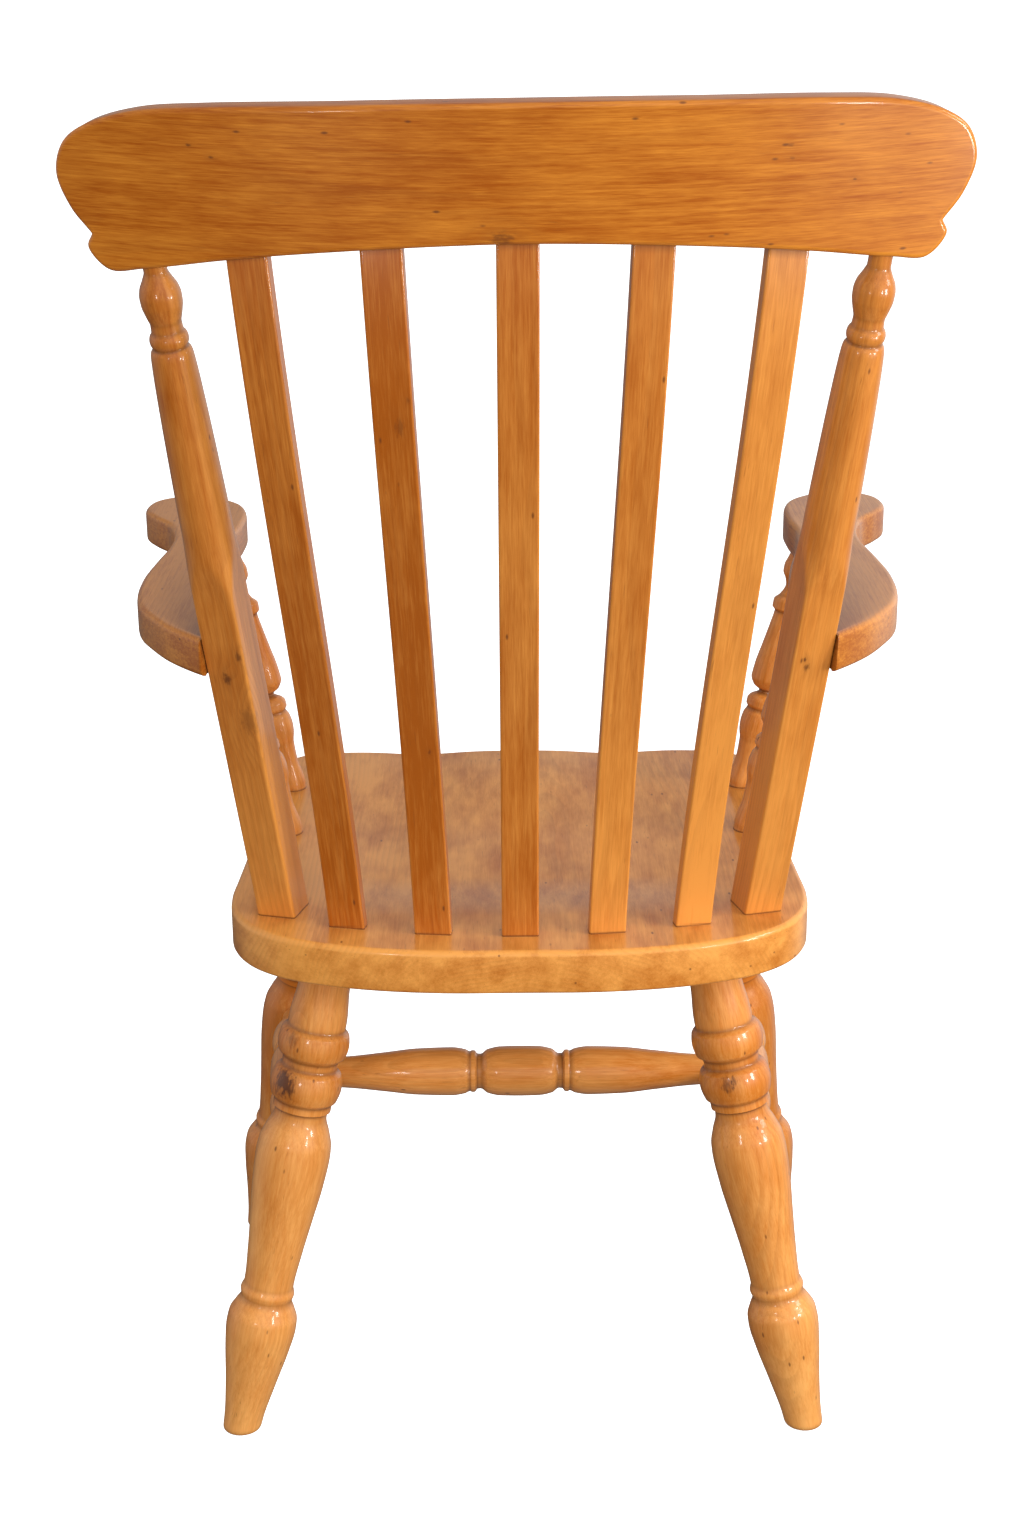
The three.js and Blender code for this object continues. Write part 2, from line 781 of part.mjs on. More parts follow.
function legTenon(frame, gap = 0) {
  const upwards = frame.along.clone().negate();
  return tenon(frame.top, upwards, legTenonRadius, legTenonDepth, legTenonRadius, gap);
}

function leg(side, end, socket) {
  const frame = legFrame(side, end);
  const profile = profileOf(legTurningShares, frame.length, legRadius);
  profile.unshift([-legTenonRadius, profile[0][1]]);
  profile.push([frame.length + legTenonRadius, profile.at(-1)[1]]);
  const slope = radians(seatSlopeDegrees);
  const seatNormal = new THREE.Vector3(0, -Math.sin(slope), Math.cos(slope));
  const under = frame.top.clone().addScaledVector(seatNormal, -fitGap);
  const floor = new THREE.Vector3();
  return turned(frame.top, frame.foot, profile, legFacets)
    .subtract(beyond(under, seatNormal))
    .subtract(beyond(floor, up.clone().negate()))
    .add(legTenon(frame))
    .subtract(socket);
}

// The line of a rail between two points, cut short by the radius of what it enters at each end.
function railFrame(from, to, entered) {
  const along = to.clone().sub(from).normalize();
  const middle = from.clone().lerp(to, 0.5);
  return { from, to, along, middle, half: from.distanceTo(to) / 2 - entered };
}

function sideStretcherFrame(side) {
  const ends = ["rear", "front"].map((end) => {
    const frame = legFrame(side, end);
    return frame.top.clone().lerp(frame.foot, stretcherLegShare);
  });
  return railFrame(...ends, legRadius);
}

function crossStretcherFrame() {
  const ends = [sides.left, sides.right].map((side) => sideStretcherFrame(side).middle);
  return railFrame(...ends, stretcherRadius);
}

// The two tenons of a rail, or the sockets for them.
function railTenons(frame, radius, depth, gap = 0) {
  return [-1, 1].map((end) => {
    const direction = frame.along.clone().multiplyScalar(end);
    const start = frame.middle.clone().addScaledVector(direction, frame.half);
    return tenon(start, direction, radius, depth, stretcherRadius, gap);
  });
}

// A turned rail: a middle bead between two rings and a taper to each end, trimmed by what it enters.
function rail(frame, radius, depth, blockers, sockets) {
  const bead = stretcherMiddleShares.map(([along, across]) => [along * stretcherHalfBead, across * stretcherRadius]);
  const start = bead.at(-1)[0];
  const spare = stretcherRadius / 2;
  const taper = stretcherTaperShares.map(([along, across]) => [
    start + along * (frame.half - start),
    across * stretcherRadius,
  ]);
  const half = [...bead, ...taper, [frame.half + spare, taper.at(-1)[1]]];
  const profile = [...half.slice(1).reverse().map(([along, across]) => [-along, across]), ...half];
  const body = turned(frame.middle, frame.to, profile, railFacets);
  const trimmed = blockers.reduce((solid, blocker) => solid.subtract(blocker), body);
  const joined = railTenons(frame, radius, depth).reduce((solid, part) => solid.add(part), trimmed);
  return sockets.reduce((solid, hole) => solid.subtract(hole), joined);
}

// A leg's or side rail's own turning grown by the fit gap, to trim the rail that meets it.
function grownLeg(side, end) {
  const frame = legFrame(side, end);
  const profile = profileOf(legTurningShares, frame.length, legRadius).map(([along, across]) => [along, across + fitGap]);
  return turned(frame.top, frame.foot, profile, legFacets);
}

function grownSideBead(side) {
  const frame = sideStretcherFrame(side);
  const bead = stretcherMiddleShares.map(([along, across]) => [along * stretcherHalfBead, across * stretcherRadius + fitGap]);
  const profile = [...bead.slice(1).reverse().map(([along, across]) => [-along, across]), ...bead];
  return turned(frame.middle, frame.to, profile, railFacets);
}

const chair = new THREE.Group();

// Adds a solid to the chair as a named mesh of its own material.
function place(name, solid, colour) {
  const made = solid.getMesh();
  const geometry = new THREE.BufferGeometry();
  geometry.setAttribute("position", new THREE.BufferAttribute(made.vertProperties, 3));
  geometry.setIndex(new THREE.BufferAttribute(made.triVerts, 1));
  geometry.computeVertexNormals();
  const material = new THREE.MeshStandardMaterial({ color: colour, roughness: woodRoughness, metalness: 0 });
  const mesh = new THREE.Mesh(geometry, material);
  mesh.name = name;
  chair.add(mesh);
}

const slatPlaces = Array.from({ length: slatCount }, (_, i) => i - (slatCount - 1) / 2);

function addSeat() {
  let seat = seatSlab();
  const cut = (hole) => {
    seat = seat.subtract(hole);
  };
  slatPlaces.forEach((at) => cut(slatBody(at, fitGap)));
  Object.values(sides).forEach((side) => {
    cut(backPostFootTenon(backPostFrame(side), fitGap));
    ["front", "rear"].forEach((end) => {
      cut(legTenon(legFrame(side, end), fitGap));
      cut(armPostTenons(armPostFrame(side, end), fitGap).foot);
    });
  });
  place("seat", seat, paleWood);
}

function addBack() {
  const trims = { seat: seatSlab(fitGap) };
  let crest = crestBoard();
  slatPlaces.forEach((at, i) => {
    crest = crest.subtract(slatBody(at, fitGap));
    place("slat_" + (i + 1), slatBody(at), amberWood);
  });
  Object.entries(sides).forEach(([word, side]) => {
    crest = crest.subtract(backPostTopTenon(backPostFrame(side), fitGap));
    place("back_post_" + word, backPost(side, trims), amberWood);
  });
  place("crest_rail", crest, amberWood);
}

function addArms() {
  const trims = { seat: seatSlab(fitGap) };
  Object.entries(sides).forEach(([word, side]) => {
    const tops = ["front", "rear"].map((end) => armPostTenons(armPostFrame(side, end), fitGap).top);
    place("arm_" + word, arm(side, tops), paleWood);
    ["front", "rear"].forEach((end) => {
      place("arm_post_" + end + "_" + word, armPost(side, end, trims), amberWood);
    });
  });
}

function addLegs() {
  const crossFrame = crossStretcherFrame();
  const crossSockets = railTenons(crossFrame, crossStretcherTenonRadius, crossStretcherTenonDepth, fitGap);
  Object.entries(sides).forEach(([word, side], i) => {
    const frame = sideStretcherFrame(side);
    const sockets = railTenons(frame, sideStretcherTenonRadius, sideStretcherTenonDepth, fitGap);
    place("leg_rear_" + word, leg(side, "rear", sockets[0]), amberWood);
    place("leg_front_" + word, leg(side, "front", sockets[1]), amberWood);
    const blockers = ["rear", "front"].map((end) => grownLeg(side, end));
    const rails = rail(frame, sideStretcherTenonRadius, sideStretcherTenonDepth, blockers, [crossSockets[i]]);
    place("stretcher_" + word, rails, amberWood);
  });
  const beads = Object.values(sides).map(grownSideBead);
  place("stretcher_cross", rail(crossFrame, crossStretcherTenonRadius, crossStretcherTenonDepth, beads, []), amberWood);
}

addSeat();
addBack();
addArms();
addLegs();

// The frame's origin is on the floor under the middle of the whole chair.
const bounds = new THREE.Box3().setFromObject(chair);
chair.children.forEach((mesh) => mesh.geometry.translate(0, -(bounds.min.y + bounds.max.y) / 2, 0));

export default chair;
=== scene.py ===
"""Captains chair of turned and shaped wood, seen from behind. Lengths in the tables are millimetres."""
import math

import bmesh
import bpy
import numpy as np
from mathutils import Matrix, Vector


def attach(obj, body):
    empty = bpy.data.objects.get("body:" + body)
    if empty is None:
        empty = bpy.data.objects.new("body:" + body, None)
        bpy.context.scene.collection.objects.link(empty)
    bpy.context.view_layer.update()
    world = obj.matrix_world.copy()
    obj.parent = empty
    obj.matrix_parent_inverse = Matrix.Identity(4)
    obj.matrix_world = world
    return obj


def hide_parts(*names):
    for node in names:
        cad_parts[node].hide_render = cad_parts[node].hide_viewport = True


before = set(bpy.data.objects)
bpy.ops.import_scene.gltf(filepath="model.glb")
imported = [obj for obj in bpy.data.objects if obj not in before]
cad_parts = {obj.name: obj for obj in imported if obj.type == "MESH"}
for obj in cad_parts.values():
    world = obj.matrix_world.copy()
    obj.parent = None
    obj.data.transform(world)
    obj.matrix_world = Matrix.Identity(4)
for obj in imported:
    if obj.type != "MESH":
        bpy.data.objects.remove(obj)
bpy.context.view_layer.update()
mm = 0.001

# The view: a camera 1.8 m behind the chair at chest height, looking down a little on the seat.
# The camera's place and turn are those found for the photograph.
camera_data = bpy.data.cameras.new("view")
camera_data.sensor_width = 36
camera_data.lens = 54.83
camera_place = Vector((-11.16, -1822.7, 1143.83)) * mm
camera = bpy.data.objects.new("view", camera_data)
bpy.context.scene.collection.objects.link(camera)
pitch, yaw, roll = math.radians(18.45), math.radians(0.19), math.radians(-0.38)
forward = Vector((math.sin(yaw) * math.cos(pitch), math.cos(yaw) * math.cos(pitch), -math.sin(pitch)))
level = Vector((math.cos(yaw), -math.sin(yaw), 0))
upright = level.cross(forward)
right = level * math.cos(roll) + upright * math.sin(roll)
above = upright * math.cos(roll) - level * math.sin(roll)
turn = Matrix((right, above, -forward)).transposed().to_4x4()
camera.matrix_world = Matrix.Translation(camera_place) @ turn
bpy.context.scene.camera = camera
bpy.context.scene.view_settings.view_transform = "Standard"

# The studio: a round white floor that curves up into a wall, seen by the camera without throwing light back.
# The room's glow is a few broad lobes. Four softboxes add to it, and a fill that the varnish doesn't mirror.
spokes, hoops = 96, 40
flat_reach, bend_radius, run_length = 7, 3, 16
sweep = np.linspace(0, 1, hoops + 1)[1:] * run_length
around = np.linspace(0, 2 * np.pi, spokes, endpoint=False)
bend = np.clip((sweep - flat_reach) / bend_radius, 0, np.pi / 2)
reach = np.minimum(sweep, flat_reach) + bend_radius * np.sin(bend)
rise = bend_radius * (1 - np.cos(bend)) + np.maximum(sweep - flat_reach - bend_radius * np.pi / 2, 0)
floor_points = np.stack([
    np.outer(reach, np.cos(around)), np.outer(reach, np.sin(around)), np.outer(rise, np.ones(spokes)),
], -1)
place = np.arange(hoops * spokes).reshape(hoops, spokes)
onward = np.roll(place, -1, 1)
floor_quads = np.stack([place[:-1], place[1:], onward[1:], onward[:-1]], -1).reshape(-1, 4)
floor_mesh = bpy.data.meshes.new("studio_floor")
floor_mesh.from_pydata(floor_points.reshape(-1, 3).tolist(), [], floor_quads.tolist() + [place[0].tolist()])
floor = bpy.data.objects.new("studio_floor", floor_mesh)
floor.visible_diffuse = floor.visible_glossy = floor.visible_shadow = False
bpy.context.scene.collection.objects.link(floor)
floor_paint = bpy.data.materials.new("studio_floor")
floor_paint.use_nodes = True
floor_paint.cycles.emission_sampling = "NONE"
floor_look = {
    "Base Color": (0.9, 0.9, 0.9, 1), "Roughness": 0.9, "Specular IOR Level": 0.0,
    "Emission Color": (1, 1, 1, 1), "Emission Strength": 1.0,
}
for key, value in floor_look.items():
    floor_paint.node_tree.nodes["Principled BSDF"].inputs[key].default_value = value
floor_mesh.materials.append(floor_paint)


class Strand:
    """One output of a node. Sums, products and powers of strands and numbers add Math nodes."""

    def __init__(self, tree, socket=None):
        self.tree, self.socket = tree, socket

    def add(self, kind, settings=None, inputs=None, output=0):
        """Makes a node of a kind, changes its settings, then fills or links its inputs."""
        node = self.tree.nodes.new(kind)
        for key, value in (settings or {}).items():
            setattr(node, key, value)
        for key, value in (inputs or {}).items():
            if isinstance(value, Strand):
                self.tree.links.new(value.socket, node.inputs[key])
            else:
                node.inputs[key].default_value = value
        return Strand(self.tree, node.outputs[output]) if len(node.outputs) else None

    def maths(self, operation, *values):
        """A Math node that does an operation on strands and numbers."""
        return self.add("ShaderNodeMath", {"operation": operation}, dict(enumerate(values)))

    def other(self, name):
        """Another output of the same node."""
        return Strand(self.tree, self.socket.node.outputs[name])

    def parts(self):
        """The three numbers of a vector."""
        x = self.add("ShaderNodeSeparateXYZ", {}, {0: self})
        return x, x.other("Y"), x.other("Z")

    def __add__(self, other):
        return self.maths("ADD", self, other)

    def __sub__(self, other):
        return self.maths("SUBTRACT", self, other)

    def __rsub__(self, other):
        return self.maths("SUBTRACT", other, self)

    def __mul__(self, other):
        return self.maths("MULTIPLY", self, other)

    def __truediv__(self, other):
        return self.maths("DIVIDE", self, other)

    def __rtruediv__(self, other):
        return self.maths("DIVIDE", other, self)

    def __pow__(self, other):
        return self.maths("POWER", self, other)

    def __rpow__(self, other):
        return self.maths("POWER", other, self)

    __radd__ = __add__
    __rmul__ = __mul__

    def stretched(self, scale, shift=(0, 0, 0)):
        """A place multiplied along its three directions, then moved."""
        return self.add("ShaderNodeVectorMath", {"operation": "MULTIPLY_ADD"}, {0: self, 1: scale, 2: shift})

    def noise(self, scale, detail=2.0, rough=0.5, shift=(0, 0, 0)):
        """Cloudy noise, 0 to 1 about a half, of a place stretched by a scale per metre in each direction."""
        place = self.stretched(scale, shift)
        inputs = {"Vector": place, "Scale": 1.0, "Detail": detail, "Roughness": rough}
        return self.add("ShaderNodeTexNoise", {}, inputs)

    def between(self, low, high, start=0.0, end=1.0):
        """Runs smoothly from start to end as the value goes from low to high."""
        inputs = {"Value": self, "From Min": low, "From Max": high, "To Min": start, "To Max": end}
        return self.add("ShaderNodeMapRange", {"interpolation_type": "SMOOTHSTEP"}, inputs)

    def tint(self, share, colour):
        """This colour mixed with another by a share."""
        inputs = {"Factor": share, 6: self, 7: colour}
        return self.add("ShaderNodeMix", {"data_type": "RGBA"}, inputs, output=2)


room_lobes = [
    ((0, 0.9, 0.4), 0.23), ((0, 0.1, 1), 0.75), ((-1, 0, 0.25), 0.87), ((-0.75, 0.75, 0.2), 0.2),
    ((0.75, 0.75, 0.2), 1.2), ((0, -1, 0.35), 0.7), ((0.75, -0.75, 0.45), 0.95), ((0, 0, -1), 0.35),
]
lobe_power = 5
sky = bpy.data.worlds.new("studio")
bpy.context.scene.world = sky
sky.use_nodes = True
walls = sky.node_tree.nodes["Background"]
walls.inputs["Color"].default_value = (1, 1, 1, 1)
way = Strand(sky.node_tree).add("ShaderNodeTexCoord")
glow = 0.0
for towards, strength in room_lobes:
    pair = {0: way, 1: Vector(towards).normalized()}
    facing = way.add("ShaderNodeVectorMath", {"operation": "DOT_PRODUCT"}, pair, output=1)
    glow = glow + facing.maths("MAXIMUM", facing, 0) ** lobe_power * strength
sky.node_tree.links.new(glow.socket, walls.inputs["Strength"])


def softbox(name, place, width, watts, mirrored=True):
    """A square light at a place in metres, aimed at the lit point, its image seen in the varnish or not."""
    data = bpy.data.lights.new(name, "AREA")
    data.size, data.energy = width, watts
    lamp = bpy.data.objects.new(name, data)
    lamp.location = place
    lamp.rotation_euler = (lamp.location - lit_point).to_track_quat("Z", "Y").to_euler()
    lamp.visible_glossy = mirrored
    bpy.context.scene.collection.objects.link(lamp)


lit_point = Vector((0, 0, 0.6))
softbox("near_box", (1.25, -0.83, 0.75), 0.25, 7.8)
softbox("right_box", (1.0, -1.3, 0.7), 0.13, 3.4)
softbox("left_box", (-0.55, -1.5, 0.75), 0.12, 1.6)
softbox("far_box", (2.09, -0.6, 1.61), 0.7, 16.8)
softbox("back_fill", (0, -3.1, 1.6), 2, 33, mirrored=False)


# The seat: a solid slab of glued staves, its grain running from back to front, its top dished for the sitter.
# Cut to its outline, dished by hand tool, its edges eased, then stained honey and varnished.
seat_height, seat_thickness, seat_half_width, seat_depth = 450, 35, 231.5, 467
seat_rise = math.tan(math.radians(1.27))
seat_rear = -184.3
seat_middle = np.array([0, 0.49 * seat_depth])
seat_half_outline = [
    (0, 0), (0.26, 0.001), (0.475, 0.013), (0.648, 0.034), (0.8, 0.066), (0.916, 0.116), (0.981, 0.18),
    (1, 0.253), (0.994, 0.332), (0.985, 0.428), (0.972, 0.642), (0.959, 0.835), (0.945, 0.9),
    (0.908, 0.957), (0.83, 0.985), (0.7, 0.994), (0.4, 0.999), (0, 1),
]
dish_rear, dish_front = (0.15, 0.36), (0.56, 0.94)
bowl_depth, bowl_side = 8, (0.43, 0.82)
thigh_depth, thigh_middle, thigh_spread = 3, 0.38, 0.165


def smooth(value, low, high):
    """Nought below low, one above high, and 3 t squared less 2 t cubed between."""
    t = np.clip((value - low) / (high - low), 0, 1)
    return t * t * (3 - 2 * t)


def hermite(t, start, leaving, end, arriving):
    """The cubic from start to end as t goes from 0 to 1, with the slopes it leaves and arrives by."""
    first_half = (2 * t**3 - 3 * t**2 + 1) * start + (t**3 - 2 * t**2 + t) * leaving
    return first_half + (3 * t**2 - 2 * t**3) * end + (t**3 - t**2) * arriving


def curve_through(points, steps):
    """A centripetal Catmull-Rom curve through the points, at even lengths, with one more point than steps."""
    p = np.asarray(points, float)
    p = np.vstack([2 * p[:1] - p[1:2], p, 2 * p[-1:] - p[-2:-1]])
    spans = np.sqrt(np.linalg.norm(np.diff(p, axis=0), axis=1))
    a, b, c, d = p[:-3], p[1:-2], p[2:-1], p[3:]
    ab, bc, cd = (s[:, None] for s in (spans[:-2], spans[1:-1], spans[2:]))
    start = ((b - a) / ab - (c - a) / (ab + bc) + (c - b) / bc) * bc
    end = ((c - b) / bc - (d - b) / (bc + cd) + (d - c) / cd) * bc
    fine = hermite(np.linspace(0, 1, 33)[:-1, None, None], b, start, c, end)
    fine = np.vstack([fine.transpose(1, 0, 2).reshape(-1, p.shape[1]), p[-2:-1]])
    length = np.concatenate([[0], np.cumsum(np.linalg.norm(np.diff(fine, axis=0), axis=1))])
    even = np.linspace(0, length[-1], steps + 1)
    return np.stack([np.interp(even, length, fine[:, k]) for k in range(p.shape[1])], 1)


def inset(outline, distance):
    """An anticlockwise closed outline, each point moved inwards at right angles to its neighbours' chord."""
    chord = np.roll(outline, -1, 0) - np.roll(outline, 1, 0)
    chord /= np.linalg.norm(chord, axis=1, keepdims=True)
    return outline + np.stack([-chord[:, 1], chord[:, 0]], 1) * np.reshape(distance, (-1, 1))


def eased_edge(radius, steps=5):
    """Pairs of inset and depth round a quarter circle, with one more just inside it to keep the face flat."""
    t = np.linspace(0, np.pi / 2, steps + 1)
    pairs = np.stack([radius * (1 - np.sin(t)), radius * (1 - np.cos(t))], 1)
    return np.vstack([[1.25 * radius, 0], pairs])


sharp_angle = math.radians(38)


def skin(name, rings, grain, material, shade=0.0, dirt_and_shade=0.0, specks=0.2, ends="fan"):
    """A closed mesh over rows of rings in millimetres: quads between rows, ends fanned, faced or left shut.
    The rings' places run forward from the seat's rear edge, which is 184.3 behind the frame's middle.
    Grain holds each point's place in the wood, its fibres along the third number. Shade is deep above nought
    and pale below it: the wood's tone, with painted highlights and painted light. Dirt and shade darken
    hollows and joints, grime with painted shade; specks is the share of spots that are dark."""
    rings = rings + (0, seat_rear, 0)
    rows, columns, _ = rings.shape
    points = rings.reshape(-1, 3)
    grain = np.broadcast_to(grain, rings.shape).reshape(-1, 3)
    # Per point: tone with painted highlights and painted light, grime with painted shade, and specks.
    parts = [np.broadcast_to(part, (rows, columns)) for part in (shade, dirt_and_shade, specks)]
    marks_and_painted_light = np.stack(parts, -1).reshape(-1, 3)
    index = np.arange(rows * columns).reshape(rows, columns)
    following = np.roll(index, -1, 1)
    faces = np.stack([index[:-1], following[:-1], following[1:], index[1:]], -1).reshape(-1, 4).tolist()
    if ends == "fan":
        for row, turned in ((0, False), (rows - 1, True)):
            pole = len(points)
            points = np.vstack([points, rings[row].mean(0)])
            grain = np.vstack([grain, grain[index[row]].mean(0)])
            marks_and_painted_light = np.vstack([marks_and_painted_light, marks_and_painted_light[index[row]].mean(0)])
            pair = (index[row], following[row]) if turned else (following[row], index[row])
            faces += np.stack([np.full(columns, pole), *pair], -1).tolist()
    if ends == "face":
        faces += [index[0][::-1].tolist(), index[-1].tolist()]
    mesh = bpy.data.meshes.new(name)
    mesh.from_pydata((points * mm).tolist(), [], faces)
    for label, numbers in (("grain", grain * mm), ("marks_and_painted_light", marks_and_painted_light)):
        numbers = numbers.ravel().astype(np.float32)
        mesh.attributes.new(label, "FLOAT_VECTOR", "POINT").data.foreach_set("vector", numbers)
    if ends == "shut":
        work = bmesh.new()
        work.from_mesh(mesh)
        bmesh.ops.remove_doubles(work, verts=work.verts, dist=1e-6)
        bmesh.ops.recalc_face_normals(work, faces=work.faces)
        work.to_mesh(mesh)
        work.free()
    mesh.shade_smooth()
    mesh.set_sharp_from_angle(angle=sharp_angle)
    mesh.materials.append(material)
    piece = bpy.data.objects.new(name, mesh)
    bpy.context.scene.collection.objects.link(piece)
    return piece


def fit(piece, node):
    """The piece rides on the chair in place of its CAD node, which is hidden."""
    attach(piece, "root")
    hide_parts(node)


ring_width = 0.0038
ring_brown, speck_brown = (0.21, 0.062, 0.012, 1), (0.12, 0.035, 0.01, 1)
knot_brown, dirt_and_shade_brown = (0.075, 0.020, 0.008, 1), (0.13, 0.042, 0.012, 1)
varnish = {"Coat Weight": 0.55, "Coat Roughness": 0.11, "Coat IOR": 1.45, "Specular IOR Level": 0.2}


def varnished_wood(name, pale, deep, heart, figure=0.16, mottle=1.0, fine=1.0, knots=(), stave=None):
    """Stained wood under varnish, its colour between pale and deep by clouds, long streaks and short fibres.
    Growth rings lie round a heart, which is outside the piece, and wander along it. Knots push them aside.
    Figure is how strongly the rings show, mottle how strongly the clouds do, and fine the streaks and fibres.
    A knot is its place in the wood, its size and its depth of colour. The grain jumps from stave to stave."""
    material = bpy.data.materials.new(name)
    material.use_nodes = True
    material.node_tree.nodes.clear()
    start = Strand(material.node_tree)
    grain = start.add("ShaderNodeAttribute", {"attribute_name": "grain"}, output="Vector")
    marks_and_painted_light = start.add("ShaderNodeAttribute", {"attribute_name": "marks_and_painted_light"}, output="Vector")
    shade, dirt_and_shade, specks = marks_and_painted_light.parts()
    if stave:
        board = grain.parts()[0] / stave + 100.5
        board = board.maths("FLOOR", board)
        jump = board.add("ShaderNodeTexWhiteNoise", {"noise_dimensions": "1D"}, {"W": board}, output="Color")
        grain = jump.stretched((0.05, 0.03, 3.0), grain)
    ripple = grain.noise((70, 70, 12), 2, 0.5, (7, 3, 1)) - 0.5
    x, y, _ = grain.parts()
    from_heart = ((x - heart[0]) ** 2 + (y - heart[1]) ** 2) ** 0.5
    radius = from_heart + (grain.noise((9, 9, 2.2), 2, 0.55) - 0.5) * 0.030 + ripple * 0.0022
    ragged = grain.noise((420, 420, 160), 3, 0.6, (6, 6, 2)) - 0.5
    blot = 0.0
    for kx, ky, kz, size, depth in knots:
        near = grain.stretched((1, 1, 0.6), (-kx, -ky, -0.6 * kz))
        gap = near.add("ShaderNodeVectorMath", {"operation": "LENGTH"}, {0: near}, output=1)
        halo = gap.between(0, 3.5 * size, 1, 0)
        radius = radius + halo * (1.2 * size)
        core = (gap + ragged * (2.4 * size)).between(0.2 * size, 1.1 * size, depth, 0)
        blot = blot + core + halo * (0.25 * depth)
    turn = radius / ring_width
    turn = turn.maths("FRACT", turn)
    shown = grain.noise((30, 30, 5), 1, 0.5, (3, 8, 5)).between(0.35, 0.7, 0.2, 1)
    late = turn.between(0.2, 0.9) * turn.between(0.92, 1, 1, 0) * shown
    cloud = grain.noise((22, 22, 8), 3, 0.6, (11, 2, 9)) - 0.5
    patch = grain.noise((75, 75, 30), 2, 0.5, (4, 4, 4)) - 0.5
    streak = grain.noise((420, 420, 14), 3, 0.65, (1, 5, 2)) - 0.5
    fibre = grain.noise((1500, 1500, 70), 2, 0.6) - 0.5
    tone = 0.5 + shade + (cloud * 0.7 + patch * 0.4) * mottle + (streak * 0.75 + fibre * 0.5) * fine
    colour = start.add("ShaderNodeMix", {"data_type": "RGBA"}, {"Factor": tone, 6: pale, 7: deep}, output=2)
    colour = colour.tint(late * figure, ring_brown)
    scattered = grain.noise((60, 60, 14), 1, 0.5, (5, 1, 7)).between(0.45, 0.65)
    dashes = grain.noise((900, 900, 60), 1, 0.5, (2, 9, 6)).between(0.66, 0.78) * scattered
    colour = colour.tint(dashes * 0.4, ring_brown)
    cells = grain.stretched((105, 105, 42))
    cells = cells.add("ShaderNodeTexVoronoi", {}, {"Vector": cells, "Scale": 1.0}, output="Distance")
    chance = cells.other("Color").add("ShaderNodeSeparateColor", {}, {0: cells.other("Color")}, output=0)
    speck = cells.between(0.04, 0.14, 1, 0) * (specks - chance).between(0, 0.03)
    colour = colour.tint(speck * 0.75, speck_brown)
    if knots:
        colour = colour.tint(blot.maths("MINIMUM", blot, 0.92), knot_brown)
    # Darkened in hollows and joints: grime with painted shade.
    colour = colour.tint(dirt_and_shade, dirt_and_shade_brown)
    rough = 0.36 + cloud * 0.12 + fibre * 0.08 + dirt_and_shade * 0.15
    height = fibre + streak * 0.8 - late * 0.3 - dashes * 0.8
    bump = start.add("ShaderNodeBump", {}, {"Strength": 0.2, "Distance": 0.00012, "Height": height})
    inputs = {"Base Color": colour, "Roughness": rough, "Normal": bump, **varnish}
    shader = start.add("ShaderNodeBsdfPrincipled", {}, inputs)
    start.add("ShaderNodeOutputMaterial", {}, {"Surface": shader})
    return material


def seat_plane(y):
    """Height of the seat's flat top edge line at a distance y from its rear."""
    return seat_height + seat_rise * y


def seat_top(x, y):
    """The plane less a bowl in the middle and two thigh hollows further forward, faded in from the rear."""
    along, across = y / seat_depth, np.abs(x) / seat_half_width
    front = smooth(along, *dish_front)
    bowl = bowl_depth * (1 - smooth(across, *bowl_side)) * (1 - front)
    thighs = thigh_depth * front * np.exp(-(((across - thigh_middle) / thigh_spread) ** 2))
    return seat_plane(y) - smooth(along, *dish_rear) * (bowl + thighs)


def seat_place(shares):
    """Distances from the middle line and from the rear edge, by shares of the seat's half width and depth."""
    return shares[0] * seat_half_width, shares[1] * seat_depth


def seat_row(share, edge, above, rise=0.0):
    """One closed row: the outline inset, drawn to the middle by a share, raised from the top or underside."""
    at = seat_middle + (inset(seat_outline, edge) - seat_middle) * share
    height = seat_top(*at.T) if above else seat_plane(at[:, 1]) - seat_thickness
    return np.column_stack([at, height + rise])


seat_wood = varnished_wood(
    "seat_wood", pale=(0.8063, 0.3416, 0.0709, 1), deep=(0.4838, 0.1464, 0.015, 1), heart=(0.02, -0.11),
    figure=0.14, mottle=3.0, fine=1.1, stave=0.155,
)
seat_half = curve_through(np.array(seat_half_outline) * (seat_half_width, seat_depth), 240)
seat_outline = np.vstack([seat_half, seat_half[-2:0:-1] * (-1, 1)])
edge_low, edge_high = eased_edge(3), eased_edge(4.5)[::-1]
seat_rows = [seat_row(share, edge_low[0, 0], False) for share in np.linspace(0.15, 1, 6)[:-1]]
seat_rows += [seat_row(1, edge, False, rise) for edge, rise in edge_low]
first_above = len(seat_rows)
seat_rows += [seat_row(1, edge, True, -drop) for edge, drop in edge_high]
seat_rows += [seat_row(share, edge_high[-1, 0], True) for share in np.linspace(1, 0, 70)[1:-1]]
seat_rings = np.array(seat_rows)
seat_grain = seat_rings[..., [0, 2, 1]] - (0, seat_height, 0)
# The upper arris is painted paler, a painted highlight, and so is the top towards the left and along the
# rear, a painted sheen.
seat_arris_highlight = np.zeros(len(seat_rings))
seat_arris_highlight[first_above + 1 : first_above + len(edge_high) - 2] = -0.35
seat_painted_sheen = 0.35 * smooth(-seat_rings[..., 0], 20, 150) + 0.1 * smooth(-seat_rings[..., 1], -70, -20)
seat_painted_sheen[:first_above] = 0
seat_slab = skin("seat_slab", seat_rings, seat_grain, seat_wood, shade=seat_arris_highlight[:, None] - seat_painted_sheen)
fit(seat_slab, "seat")


